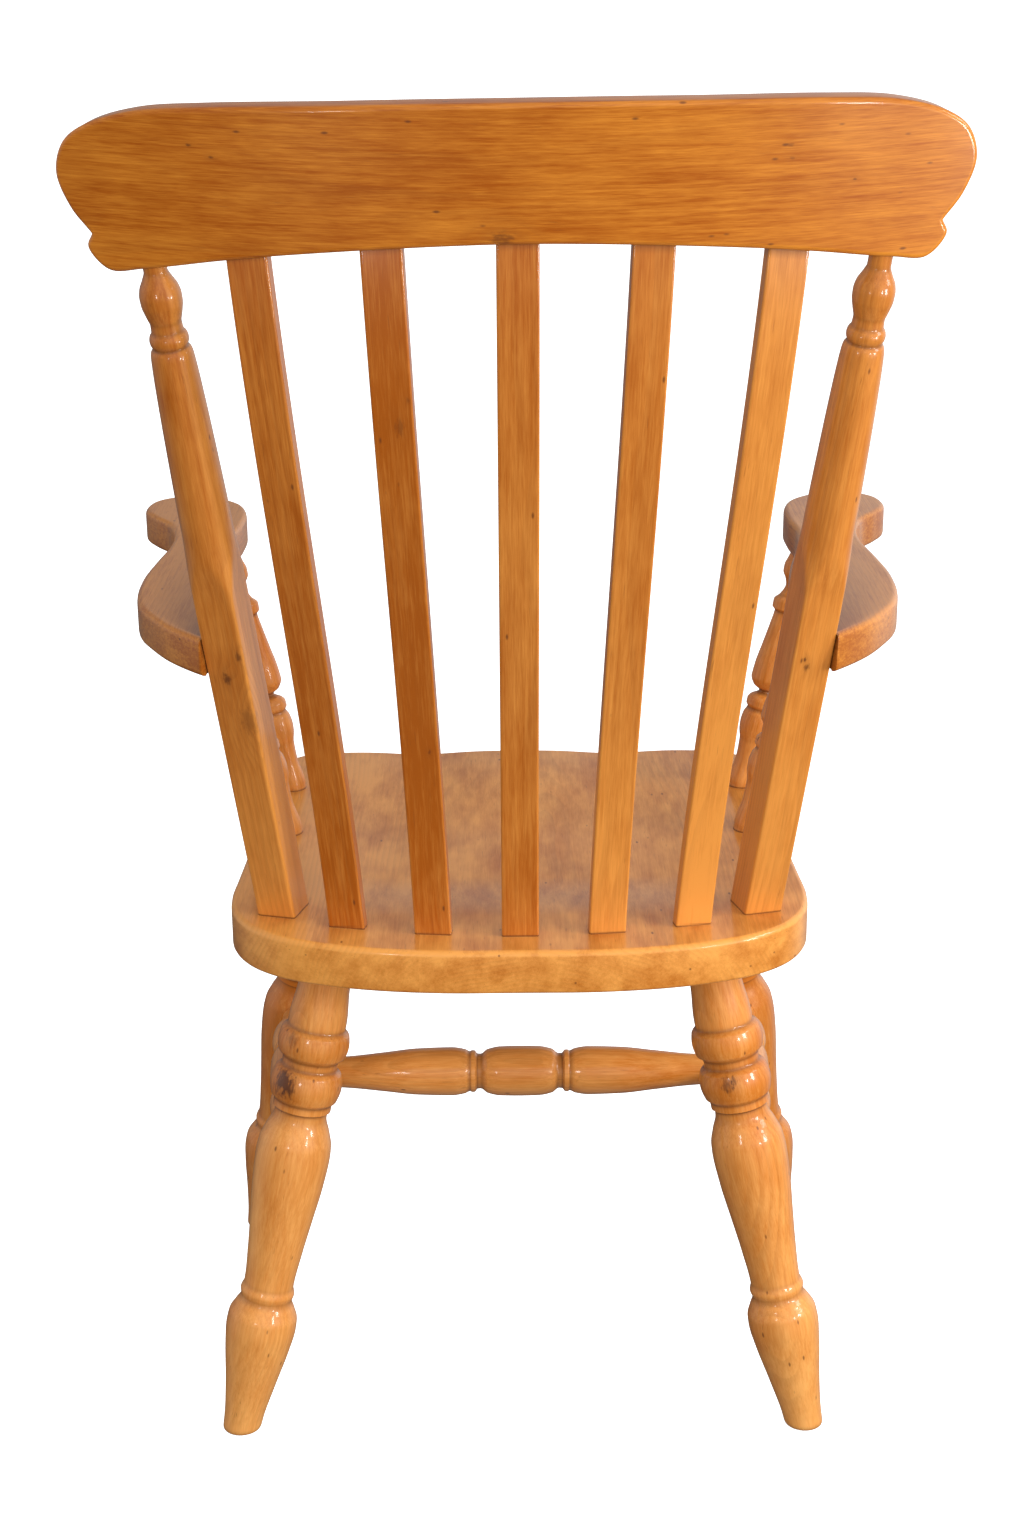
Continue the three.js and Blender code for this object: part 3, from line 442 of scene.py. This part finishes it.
# The crest rail: one board bowed to a radius, its ends forward, its outline sawn with a lobe under each end.
# Its grain runs from end to end. It leans back and is bored and mortised from below for the posts and laths,
# and it was glued on a little out of level, its left end low.
crest_half, crest_height, crest_thickness = 305, 93, 21
crest_bow, crest_lean = 944, math.radians(11.3)
crest_rear, crest_rise = -91.4, 537.5
crest_hang, crest_drop = math.radians(0.55), -1.2
spine_end, spine_height = 0.82 * crest_half, 0.36 * crest_height
crest_over_points = [
    (0.932, -0.027), (0.975, 0.155), (1, 0.4), (0.978, 0.62), (0.925, 0.752), (0.82, 0.862),
    (0.667, 0.912), (0.38, 0.948), (0.2, 0.963), (0, 0.968),
]
crest_under_points = [
    (0, -0.016), (0.25, -0.043), (0.51, -0.113), (0.65, -0.172), (0.82, -0.262),
    (0.9, -0.285), (0.944, -0.125), (0.932, -0.027),
]


def crest_place(x, height, depth):
    """A point by its distance along the rear face's bow, its height up the lean and its depth forward."""
    share = x / crest_bow
    bowed = crest_bow - (crest_bow - depth) * np.sqrt(1 - share**2)
    y = crest_rear + bowed * math.cos(crest_lean) - height * math.sin(crest_lean)
    z = seat_height + crest_rise + bowed * math.sin(crest_lean) + height * math.cos(crest_lean)
    return np.stack(np.broadcast_arrays((crest_bow - depth) * share, y, z), -1)


def crest_underside(x):
    """Height of the rail's lower edge at a distance along it, straight between the outline's points."""
    along, height = (np.array(crest_under_points[:5]) * (crest_half, crest_height)).T
    return np.interp(abs(x), along, height)


def mirrored(points):
    """A half curve that starts or ends on the middle line, made whole."""
    points = np.array(points)
    if points[-1, 0] == 0:
        return np.vstack([points, points[-2::-1] * (-1, 1)])
    return np.vstack([points[:0:-1] * (-1, 1), points])


crest_scale = (crest_half, crest_height)
over = curve_through(mirrored(crest_over_points) * crest_scale, 2400)
under = curve_through(mirrored(crest_under_points) * crest_scale, 2400)
bay = np.linspace(-spine_end, spine_end, 141)
over_bay = np.interp(bay, *over[np.abs(over[:, 0]) < spine_end + 3][::-1].T)
under_bay = np.interp(bay, *under[np.abs(under[:, 0]) < spine_end + 3].T)
lobe = under[under[:, 0] > spine_end][::8]
round_end = over[over[:, 0] > spine_end][::7]
nick = over[:1]
right_end = np.vstack([lobe[:-1], nick, round_end[1:]])
crest_outline = np.vstack([
    np.column_stack([bay, under_bay]), right_end,
    np.column_stack([bay, over_bay])[::-1], (right_end * (-1, 1))[::-1],
])
ends_spine = np.tile((spine_end, spine_height), (len(right_end), 1))
level_spine = np.column_stack([bay, np.full(len(bay), spine_height)])
crest_spine = np.vstack([level_spine, ends_spine, level_spine[::-1], ends_spine * (-1, 1)])


def crest_row(share, edge, depth):
    """One closed row: the outline inset, drawn towards the spine by a share, at a depth in the board."""
    at = crest_spine + (inset(crest_outline, edge) - crest_spine) * share
    at = at + at[:, ::-1] * (-crest_hang, crest_hang) + (0, crest_drop)
    return np.column_stack([at, np.full(len(at), depth)])


crest_edge = eased_edge(3.2)
inwards = [0, 0.15, 0.3, 0.45, 0.6, 0.75, 0.9]
crest_flat = [crest_row(s, crest_edge[0, 0], 0) for s in inwards]
crest_flat += [crest_row(1, e, d) for e, d in crest_edge]
crest_front = eased_edge(6.5)[::-1]
crest_flat += [crest_row(1, e, crest_thickness - d) for e, d in crest_front]
crest_flat += [crest_row(s, crest_front[-1, 0], crest_thickness) for s in inwards[::-1]]
crest_flat = np.array(crest_flat)[::-1]
# The rear arris is painted paler, more so towards the right: a painted highlight. The board is deeper in the
# middle and painted paler towards its right end, a painted sheen where the light falls.
crest_arris_highlight = np.zeros(len(crest_flat))
crest_arris_highlight[-len(inwards) - len(crest_edge) + 2 : -len(inwards) - 1] = -0.3
crest_share = crest_flat[..., 0] / crest_half
crest_tone_and_sheen = np.interp(crest_share, [-1, 0, 1], [0.06, 0.16, -0.1])
crest_shade = crest_arris_highlight[:, None] * (0.6 + 0.5 * crest_share) + crest_tone_and_sheen
crest_knots = [
    (0.057, 0, 4.176, 0.0016, 0.35), (0.0486, 0, 4.1778, 0.0014, 0.3), (0.0321, 0, 4.22, 0.001, 0.5),
    (0.0015, 0, 3.990, 0.0055, 0.45), (0.0575, 0, 3.7876, 0.0012, 0.55), (0.0503, 0, 3.8021, 0.0011, 0.5),
]
crest_wood = varnished_wood(
    "crest_wood", pale=(0.6452, 0.2218, 0.0215, 1), deep=(0.3708, 0.0842, 0.0021, 1), heart=(0.02, -0.16),
    figure=0.1, mottle=1.7, fine=2.4, knots=crest_knots,
)
crest_rings = crest_place(crest_flat[..., 0], crest_flat[..., 1], crest_flat[..., 2])
crest_grain = crest_flat[..., [1, 2, 0]] + (0, 0, 4000)
crest_board = skin("crest_board", crest_rings, crest_grain, crest_wood, crest_shade, specks=0.3, ends="shut")
fit(crest_board, "crest_rail")


# The laths: five flat strips, upright at the seat, bent back and upright again in the crest rail.
# Sawn from straight stuff, steamed to the bend, arrises taken off, each turned a little to its neighbour.
lath_width, lath_thickness, lath_arris = 28.6, 11, 1.6
lath_seat_spacing, lath_crest_spacing = 67.5, 89.7
lath_seat_rear, lath_crest_depth, lath_turn = 29, 4, 6
lath_knots = [
    (-0.0048, -0.0095, -0.4886, 0.0045, 0.3), (-0.0016, -0.0095, -0.7439, 0.0014, 0.4),
    (0.003, -0.0095, -0.470, 0.002, 0.3),
]
lath_wood = varnished_wood(
    "lath_wood", pale=(0.715, 0.2745, 0.0495, 1), deep=(0.385, 0.0915, 0.0055, 1), heart=(0.03, -0.09),
    mottle=1.1, fine=1.3, knots=lath_knots,
)


def eased_section(half_width, half_depth, radius, steps=4):
    """An oblong with quarter-round corners, anticlockwise, and a point beside each to keep the faces flat.
    The second result is how far round its corner a point is, 1 on the arris itself."""
    t = np.linspace(0, np.pi / 2, steps + 1)
    corner = np.vstack([[1, -0.3], np.stack([np.cos(t), np.sin(t)], 1), [-0.3, 1]]) * radius
    arris = np.concatenate([[0], np.sin(2 * t), [0]])
    whole = []
    for turned in ((1, 1), (-1, 1), (-1, -1), (1, -1)):
        placed = corner * turned + np.array(turned) * (half_width - radius, half_depth - radius)
        whole.append(placed if turned[0] == turned[1] else placed[::-1])
    return np.vstack(whole), np.tile(arris, 4)


def joint_line(rings, reach=2.0):
    """A dark line where a piece meets the seat's top, painted shadow with some grime: full there, gone within
    the reach.
    """
    return 0.85 * (1 - smooth(rings[..., 2] - seat_top(rings[..., 0], rings[..., 1]), 0.3, reach))


def lath(at):
    """The section carried along a path whose backward travel is a cubic in the height, a little turned.
    The feet stand on a parabola across the seat. The rows are close where the lath meets the seat."""
    seat_x, crest_x = at * lath_seat_spacing, at * lath_crest_spacing
    seat_y = lath_seat_rear + seat_x**2 / 1000
    head = crest_place(crest_x, crest_underside(crest_x), lath_crest_depth)
    foot = float(seat_top(seat_x, seat_y))
    height = head[2] - foot
    levels = [np.linspace(-8, -1, 4), np.linspace(-0.6, 4, 12), np.linspace(5, height + 12, 90)]
    h = np.unique(np.concatenate(levels)) / height
    x = seat_x + (crest_x - seat_x) * h
    y = seat_y + (head[1] - seat_y) * (0.06 * h + 2.72 * h**2 - 1.78 * h**3)
    path = np.column_stack([x, y, foot + height * h])
    along = np.gradient(path, axis=0)
    along /= np.linalg.norm(along, axis=1, keepdims=True)
    twist = math.radians(at * lath_turn)
    width = np.array([math.cos(twist), math.sin(twist), 0])
    width = width - along * (along @ width)[:, None]
    width /= np.linalg.norm(width, axis=1, keepdims=True)
    ahead = np.cross(along, width)
    section, arris = eased_section(lath_width / 2, lath_thickness / 2, lath_arris)
    middle = path + ahead * lath_thickness / 2
    rings = middle[:, None] + section[:, 0, None] * width[:, None] + section[:, 1, None] * ahead[:, None]
    grain = np.zeros(rings.shape) + (at * 9, at * 4, at * 900)
    grain[..., :2] += section
    grain[..., 2] += (height * h)[:, None]
    # The arrises are painted paler, a painted highlight.
    shade = np.interp(h, *lath_shades[at + 2])[:, None] - 0.28 * arris
    # A dark line at the seat and under the crest rail: painted shadow with some grime.
    dirt_and_shade = np.maximum(joint_line(rings), 0.6 * smooth(h * height, height - 1.5, height + 0.5)[:, None])
    return rings, grain, shade, dirt_and_shade


lath_shades = [
    ([0, 0.5, 1], [0.43, 0.26, 0.26]), ([0, 0.5, 1], [0.33, 0.41, 0.45]), ([0, 0.55, 1], [0.26, -0.05, 0.28]),
    ([0.1, 0.6, 1], [-0.36, 0.08, 0.15]), ([0.1, 0.55, 1], [-0.5, -0.36, -0.05]),
]
for number in range(5):
    rings, grain, shade, dirt_and_shade = lath(number - 2)
    piece = skin("lath_%d" % (number + 1), rings, grain, lath_wood, shade, dirt_and_shade)
    fit(piece, "slat_%d" % (number + 1))


# The back posts: square below for the arms to butt on, turned above, raked back and out.
# Each is a square billet with its corners just eased, the upper half turned to a taper, two rings and a bulb.
sides = {"left": -1, "right": 1}
post_half_width, post_half_depth, post_radius = 15.5, 16.5, 22
post_foot_shares, post_top_share, post_turn = (0.808, 0.186), 0.8077, 15
flats_end, flats_open = (0.523, 0.631), 4
post_turning = [
    (0, 1), (0.2467, 1), (0.4933, 1), (0.5377, 0.98), (0.5673, 0.93), (0.592, 0.885), (0.6216, 0.85),
    (0.6462, 0.845), (0.7399, 0.8), (0.8189, 0.745), (0.8722, 0.68), (0.881, 0.64), (0.886, 0.56),
    (0.8909, 0.605), (0.8958, 0.62), (0.9018, 0.59), (0.9067, 0.51), (0.9175, 0.495), (0.9244, 0.54),
    (0.9333, 0.6), (0.9432, 0.65), (0.9531, 0.658), (0.9639, 0.61), (0.9767, 0.46), (0.9866, 0.37),
    (1, 0.37),
]
post_knots = [
    (-0.0192, 0.0095, -1.2777, 0.0036, 0.6), (-0.0315, 0.0095, -1.2582, 0.0028, 0.5),
    (-0.0305, 0.0095, -1.3137, 0.009, 0.3), (0.016, -0.0095, 1.7289, 0.0024, 0.6),
    (0.0135, -0.0095, 1.7355, 0.0015, 0.6),
]
post_wood = varnished_wood(
    "post_wood", pale=(0.7085, 0.273, 0.0504, 1), deep=(0.3815, 0.091, 0.0056, 1), heart=(0.045, -0.05),
    mottle=1.2, fine=1.1, knots=post_knots,
)


def flowing(table, at):
    """Cubics through the table's points that never overshoot: slopes are harmonic means, level at a turn."""
    x, y = np.array(table, float).T
    slope = np.diff(y) / np.diff(x)
    both = slope[:-1] * slope[1:]
    mean = np.where(both > 0, 2 * both / np.where(both > 0, slope[:-1] + slope[1:], 1), 0)
    m = np.concatenate([slope[:1], mean, slope[-1:]])
    i = np.clip(np.searchsorted(x, at) - 1, 0, len(x) - 2)
    w = x[i + 1] - x[i]
    return hermite(np.clip((at - x[i]) / w, 0, 1), y[i], w * m[i], y[i + 1], w * m[i + 1])


def hollows(along, radius, reach=2.0):
    """How far each row lies below the run of its neighbours, 0 to 1: darkened there, grime and thick varnish
    with painted shade.
    """
    even = np.arange(along[0], along[-1], 0.5)
    kernel = np.exp(-np.arange(-4 * reach, 4 * reach + 0.5, 0.5) ** 2 / (2 * reach**2))
    padded = np.pad(np.interp(even, along, radius), len(kernel) // 2, mode="edge")
    level = np.convolve(padded, kernel / kernel.sum(), "valid")[: len(even)]
    return np.clip((np.interp(along, even, level) - radius) / 0.8, 0, 1)


def post_line(side):
    """Foot on the seat, top in the crest rail, and the directions outwards and through a back post."""
    x, y = seat_place(post_foot_shares)
    foot = np.array([side * x, y, seat_plane(y)])
    top_x = post_top_share * crest_half
    top = crest_place(side * top_x, crest_underside(top_x), crest_thickness / 2)
    along = (top - foot) / np.linalg.norm(top - foot)
    turned = math.radians(post_turn)
    width = np.array([side * math.cos(turned), math.sin(turned), 0])
    width -= along * (along @ width)
    width /= np.linalg.norm(width)
    return foot, top, width, np.cross(along, width)


def back_post(side):
    """A soft least of the turned radius and the two pairs of flats, by a high norm of their inverses.
    Columns crowd towards the four arrises, and rows where the post meets the seat and where it is turned."""
    foot, top, width, depth = post_line(side)
    length = np.linalg.norm(top - foot)
    half = length / 2
    levels = [[-8], np.linspace(-5, 7, 25), np.linspace(8, half, 60), np.linspace(half, length + 9, 260)]
    rows = np.unique(np.concatenate(levels)) / length
    open_by = flats_open * smooth(rows, *flats_end)[:, None]
    corner = math.atan2(post_half_depth, post_half_width)
    arrises = [corner, np.pi - corner, np.pi + corner, 2 * np.pi - corner]
    gaps = np.diff(arrises + [arrises[0] + 2 * np.pi]) / 2
    spread = np.linspace(-1, 1, 27)[:-1]
    crowded = np.sign(spread) * np.abs(spread) ** 1.7
    theta = [arrises[k] + np.where(crowded > 0, gaps[k], gaps[k - 1]) * crowded for k in range(4)]
    theta = np.concatenate(theta)
    power = 36.0
    circle = (post_radius * flowing(post_turning, rows))[:, None]
    wide = (np.abs(np.cos(theta)) / (post_half_width + open_by)) ** power
    deep = (np.abs(np.sin(theta)) / (post_half_depth + open_by)) ** power
    r = (circle**-power + wide + deep) ** (-1 / power)
    u, v = r * np.cos(theta), r * np.sin(theta)
    middle = foot + (top - foot) * rows[:, None]
    rings = middle[:, None] + u[..., None] * width + v[..., None] * depth
    travel = np.broadcast_to((rows * length)[:, None], u.shape)
    grain = np.stack([u, v, travel], -1) + (20 * side, 7 * side, 1500 * side)
    nearest = np.min([np.abs(theta - q) for q in arrises], 0)
    # The arrises of the square part are painted paler, a painted highlight, and the inner face is painted
    # light.
    arris = 0.25 * np.exp(-((nearest / 0.05) ** 2)) * (1 - open_by / flats_open)
    shade = np.interp(rows, *post_shades[side])[:, None] - arris
    shade = shade - post_inner_painted_light[side] * smooth(-np.cos(theta), 0.6, 0.75)
    dirt_and_shade = np.maximum(joint_line(rings), 0.7 * hollows(rows * length, circle[:, 0])[:, None])
    return rings, grain, shade, dirt_and_shade


# How much paler each inner face is painted: painted light where the light falls on it.
post_inner_painted_light = {-1: 0.45, 1: 0.12}
post_shades = {-1: ([0.05, 0.4, 1], [-0.3, 0.12, 0.15]), 1: ([0.05, 0.4, 1], [-0.42, -0.15, -0.12])}
for word, side in sides.items():
    rings, grain, shade, dirt_and_shade = back_post(side)
    fit(skin("stile_" + word, rings, grain, post_wood, shade, dirt_and_shade), "back_post_" + word)


# The arms: flat boards sawn to a flowing outline, butted and dowelled on the back posts, with a round pad
# in front. Their edges are eased by hand; their upper arrises and flat tops are painted paler, painted light.
arm_height, arm_thickness, arm_spread, arm_length = seat_height + 244, 29, 119.2, 447.7
arm_edge, arm_gap = 4.5, 0.2
arm_outline_points = [
    (0.079, -0.066), (0.187, -0.039), (0.304, -0.004), (0.437, 0.044), (0.564, 0.106), (0.659, 0.165),
    (0.717, 0.248), (0.736, 0.358), (0.706, 0.482), (0.673, 0.582), (0.681, 0.662), (0.756, 0.752),
    (0.892, 0.812), (0.983, 0.861), (1, 0.906), (0.958, 0.954), (0.839, 0.986), (0.656, 1),
    (0.456, 0.971), (0.303, 0.924), (0.228, 0.851), (0.22, 0.761), (0.242, 0.672), (0.212, 0.582),
    (0.145, 0.493), (0.078, 0.403), (0.028, 0.303), (0.012, 0.203), (0.028, 0.113), (0.067, 0.035),
    (0.001, -0.023),
]
arm_wood = varnished_wood(
    "arm_wood", pale=(0.6125, 0.224, 0.0272, 1), deep=(0.3675, 0.096, 0.0068, 1), heart=(0.03, -0.08),
    mottle=2.2, fine=2.6,
)


def arm_butt(side):
    """The place on a back post's middle line that is as high as the middle of the arm's thickness there."""
    foot, top, *_ = post_line(side)
    return foot + (top - foot) * (arm_height - arm_thickness / 2 - foot[2]) / (top[2] - foot[2])


def arm(side):
    """The outline in rows with an eased edge above and below, each row cut off on the back post's outer side.
    It is worked out for the right arm. The left one is mirrored, with its columns turned round."""
    *_, width, depth = post_line(side)
    axis = arm_butt(side)
    points = np.array(arm_outline_points) * (arm_spread, arm_length) + (abs(axis[0]), axis[1])
    outline = curve_through(points, 700)
    gaps = outline[-1] - outline[0]
    outline = np.vstack([outline, outline[-1] - gaps * np.linspace(0, 1, 12)[1:-1, None]])
    edge = eased_edge(arm_edge)
    tilt = math.atan(seat_rise)
    levels = [(e, d) for e, d in edge] + [(e, arm_thickness - d) for e, d in edge[::-1]]
    rows, flat = [], []
    for e, rise in levels:
        x, y = inset(outline, e).T
        height = arm_height - arm_thickness + y * math.sin(tilt) + rise * math.cos(tilt)
        rows.append(np.column_stack([x, y * math.cos(tilt) - rise * math.sin(tilt), height]))
        flat.append(np.column_stack([x, np.full(len(x), rise), y]))
    rows, flat = np.array(rows), np.array(flat)
    axis, normal, through = axis * (side, 1, 1), width * (side, 1, 1), depth * (side, 1, 1)
    face = axis + normal * (post_half_width + arm_gap)
    beyond = (rows - face) @ normal
    cut = np.flatnonzero(beyond[len(rows) // 2] < 0)
    breaks = np.flatnonzero(np.diff(cut) > 1)
    begin = cut[breaks[0] + 1] if len(breaks) else cut[0]
    order = np.roll(np.arange(len(outline)), -begin)
    rows, flat, beyond = rows[:, order], flat[:, order], beyond[:, order]
    count = len(cut)
    on_face = rows - beyond[..., None] * normal
    first, last = on_face[:, count], on_face[:, -1]
    share = np.linspace(0, 1, count)[:, None]
    rows[:, :count] = last[:, None] + (first - last)[:, None] * share
    flat[:, :count] = flat[:, -1:] + (flat[:, count : count + 1] - flat[:, -1:]) * share
    # Darkened where the butt meets the back post: painted shade in the joint, with some grime.
    covered = 1 - smooth(np.abs((rows - axis) @ through), 16, 19)
    beyond[:, :count] = 0
    dirt_and_shade = 0.7 * covered * (1 - smooth(np.maximum(beyond, 0), 0.2, 1.2))
    if side < 0:
        rows, flat, dirt_and_shade = rows[:, ::-1] * (-1, 1, 1), flat[:, ::-1] * (-1, 1, 1), dirt_and_shade[:, ::-1]
    return rows, flat + (15 * side, 0, 700 * side), dirt_and_shade


arm_top_painted_light = {-1: -0.45, 1: -0.3}
for word, side in sides.items():
    rings, grain, dirt_and_shade = arm(side)
    # The upper arris and the flat top are painted paler: a painted highlight and painted light from above.
    shade = np.full(len(rings), 0.05)
    shade[-5:-2] = -0.25
    shade[-2:] = arm_top_painted_light[side]
    piece = skin("arm_rest_" + word, rings, grain, arm_wood, shade[:, None], dirt_and_shade, ends="face")
    fit(piece, "arm_" + word)


# The arm posts: two short turnings under each arm, socketed in the seat and the arm and splayed with them.
# From the foot: a stub, a bead, a ring, a deep cove, a long vase, a collar, a waist and a small bulb.
arm_post_radius = 15.6
arm_post_turning = [
    (-0.02, 0.83), (0, 0.83), (0.02, 0.87), (0.12, 0.745), (0.19, 0.8), (0.235, 0.96), (0.27, 1),
    (0.305, 0.94), (0.33, 0.8), (0.345, 0.92), (0.365, 0.92), (0.38, 0.8), (0.405, 0.37), (0.425, 0.76),
    (0.46, 1), (0.51, 0.975), (0.59, 0.84), (0.68, 0.69), (0.742, 0.61), (0.755, 0.79), (0.785, 0.81),
    (0.81, 0.54), (0.85, 0.34), (0.875, 0.44), (0.905, 0.67), (0.93, 0.69), (0.965, 0.57), (1, 0.48),
    (1.02, 0.48),
]
arm_post_shares = {"front": ((0.881, 0.786), (0.325, 0.7654)), "rear": ((0.857, 0.548), (0.32, 0.5107))}
turned_knots = [
    (-0.0325, 0.033, 2.0130, 0.0100, 0.6), (-0.0290, 0.0355, 2.0150, 0.0045, 0.6),
    (-0.0240, 0.0375, 2.0175, 0.0060, 0.5), (-0.0296, 0.0343, 1.9779, 0.0055, 0.35),
    (0.0043, 0.0393, 3.8129, 0.0055, 0.5), (0.0100, 0.0405, 3.8100, 0.0035, 0.5),
]
turned_wood = varnished_wood(
    "turned_wood", pale=(0.9, 0.413, 0.1122, 1), deep=(0.6, 0.177, 0.0198, 1), heart=(0.04, -0.03),
    mottle=1.5, fine=1.3, knots=turned_knots,
)


def turning(start, end, profile, radius, columns=72, rows=240, level_end=False):
    """A profile of radius shares carried round the line from start to end. A level end is cut at height 0.
    The results are the rings, their places in the wood, the shares along the line and the darkening in
    hollows, grime with painted shade; a level end is darkened over its last few millimetres."""
    start, end = np.array(start, float), np.array(end, float)
    length = np.linalg.norm(end - start)
    along = (end - start) / length
    first = np.cross(along, (0, 0, 1) if abs(along[2]) < 0.7 else (0, 1, 0))
    first /= np.linalg.norm(first)
    second = np.cross(along, first)
    table = np.array(profile)
    at = np.unique(np.concatenate([np.linspace(table[0, 0], table[-1, 0], rows), table[:, 0]]))
    r = radius * flowing(table, at)
    dirt_and_shade = hollows(at * length, r) * 0.7
    theta = np.linspace(0, 2 * np.pi, columns, endpoint=False)
    u, v = np.cos(theta), np.sin(theta)
    out = u[:, None] * first + v[:, None] * second
    travel = at[:, None] * length * np.ones(columns)
    if level_end:
        miss = -(end[2] + r[-1] * out[:, 2]) / along[2]
        travel += miss * smooth(at, 0.9, 1)[:, None]
        dirt_and_shade = np.maximum(dirt_and_shade, 0.55 * smooth(at * length, length - 5, length))
    rings = start + travel[..., None] * along + r[:, None, None] * out
    grain = np.stack([r[:, None] * u, r[:, None] * v, travel], -1)
    return rings, grain, at, dirt_and_shade[:, None]


def arm_post_line(side, foot_shares, top_shares):
    """Foot on the seat by shares of its size, top under the arm by shares of the arm's spread and length."""
    x, y = seat_place(foot_shares)
    foot = (side * x, y, float(seat_top(x, y)))
    butt = arm_butt(sides["right"])
    x, y = butt[0] + top_shares[0] * arm_spread, butt[1] + top_shares[1] * arm_length
    return foot, (side * x, y, arm_height - arm_thickness + seat_rise * y)


for end, shares in arm_post_shares.items():
    for word, side in sides.items():
        line = arm_post_line(side, *shares)
        rings, grain, _, dirt_and_shade = turning(*line, arm_post_turning, arm_post_radius, columns=56)
        grain = grain + (side * 6, 3, side * 400 + len(end) * 90)
        dirt_and_shade = np.maximum(dirt_and_shade, joint_line(rings))
        piece = skin("spindle_%s_%s" % (end, word), rings, grain, turned_wood, 0.1, dirt_and_shade)
        fit(piece, "arm_post_%s_%s" % (end, word))


# The legs: four alike from one turning, socketed up into the seat and splayed, with their feet cut level.
# From the top: a neck, a bead, a ring, a bead, a ring, a long vase, a collar, a bulb and a tapered foot.
leg_radius = 30.4
leg_turning = [
    (-0.015, 0.66), (0, 0.658), (0.082, 0.691), (0.15, 0.776), (0.161, 0.776), (0.173, 0.907),
    (0.195, 0.954), (0.215, 0.907), (0.228, 0.75), (0.24, 0.743), (0.252, 0.888), (0.278, 0.96),
    (0.304, 0.888), (0.313, 0.783), (0.326, 0.783), (0.33, 0.704), (0.341, 0.711), (0.369, 0.854),
    (0.397, 0.975), (0.425, 1), (0.479, 0.962), (0.549, 0.856), (0.619, 0.751), (0.692, 0.677),
    (0.708, 0.737), (0.72, 0.701), (0.738, 0.816), (0.759, 0.938), (0.78, 0.954), (0.822, 0.888),
    (0.9, 0.697), (0.97, 0.546), (0.9955, 0.515), (0.998, 0.50), (0.9992, 0.475), (1, 0.44),
]


def leg_line(side, top_shares, splay):
    """Top on the seat's underside by shares of the seat's size, foot on the floor by its splay."""
    x, y = seat_place(top_shares)
    top = np.array([side * x, y, seat_plane(y) - seat_thickness])
    return top, np.array([side * (x + splay[0]), y + splay[1], 0.0])


leg_shades = [0, 0.15, 0.19, 0.31, 0.36, 0.7, 0.76, 1], [0.1, 0.12, 0.32, 0.32, 0.0, -0.08, -0.05, -0.33]
leg_tones = {
    ("rear", "left"): -0.04, ("rear", "right"): 0.03, ("front", "left"): 0.45, ("front", "right"): 0.35,
}
leg_specks = [0, 0.15, 0.19, 0.31, 0.36, 0.7, 0.76, 1], [0.3, 0.3, 0.9, 0.9, 0.3, 0.4, 1, 1]
leg_ends = {"front": ((0.7555, 0.687), (75.1, 72.7)), "rear": ((0.651, 0.21), (85, -47.4))}
for end, shares_and_splay in leg_ends.items():
    for word, side in sides.items():
        line = leg_line(side, *shares_and_splay)
        rings, grain, at, dirt_and_shade = turning(*line, leg_turning, leg_radius, columns=84, rows=320, level_end=True)
        shade = np.interp(at, *leg_shades)[:, None] + leg_tones[end, word]
        specks = np.interp(at, *leg_specks)[:, None]
        grain = grain + (side * 12, len(end) * 3, side * 900 + len(end) * 700)
        piece = skin("turned_leg_%s_%s" % (end, word), rings, grain, turned_wood, shade, dirt_and_shade, specks)
        fit(piece, "leg_%s_%s" % (end, word))


# The stretchers: a turned rail from rear to front leg on each side, and one across between their middles.
# Each has a barrel bead between two rings at its middle and tapers to a tenon at either end.
rail_radius, half_bead, rail_share = 21.7, 33, 0.411
rail_middle = [
    (0, 1), (0.5, 0.985), (0.85, 0.88), (1.03, 0.7), (1.12, 0.71), (1.18, 0.83), (1.27, 0.84), (1.31, 0.8),
    (1.45, 0.89), (1.8, 0.965),
]
rail_taper = [(0.25, 0.93), (0.5, 0.79), (0.75, 0.65), (0.92, 0.595), (1, 0.585)]


def rail_turning(length, entered):
    """The half profile in shares of the length between the two lines it joins, mirrored about the middle.
    Its taper ends where the piece it enters begins, and its tenon goes halfway to that piece's line."""
    half = length / 2 - entered
    start = rail_middle[-1][0] * half_bead
    middle = [(a * half_bead, r) for a, r in rail_middle]
    taper = [(start + a * (half - start), r) for a, r in rail_taper]
    tenon = (half + 0.5 * entered, rail_taper[-1][1])
    out = np.array([*middle, *taper, tenon])
    whole = np.vstack([out[:0:-1] * (-1, 1), out])
    return whole * (1 / length, 1) + (0.5, 0)


side_lines = {}
for word, side in sides.items():
    legs = [leg_line(side, *leg_ends[end]) for end in ("rear", "front")]
    joins = [top + (foot - top) * rail_share for top, foot in legs]
    side_lines[word] = joins
    length = np.linalg.norm(joins[1] - joins[0])
    rings, grain, _, dirt_and_shade = turning(*joins, rail_turning(length, leg_radius), rail_radius, columns=64)
    grain = grain + (side * 8, 5, side * 600 + 3000)
    fit(skin("rail_" + word, rings, grain, turned_wood, dirt_and_shade=dirt_and_shade), "stretcher_" + word)
middles = [(a + b) / 2 for a, b in side_lines.values()]
length = np.linalg.norm(middles[1] - middles[0])
profile = rail_turning(length, rail_radius)
rings, grain, _, dirt_and_shade = turning(*middles, profile, rail_radius, columns=72, rows=300)
fit(skin("rail_across", rings, grain + (3, 9, 5000), turned_wood, dirt_and_shade=dirt_and_shade), "stretcher_cross")
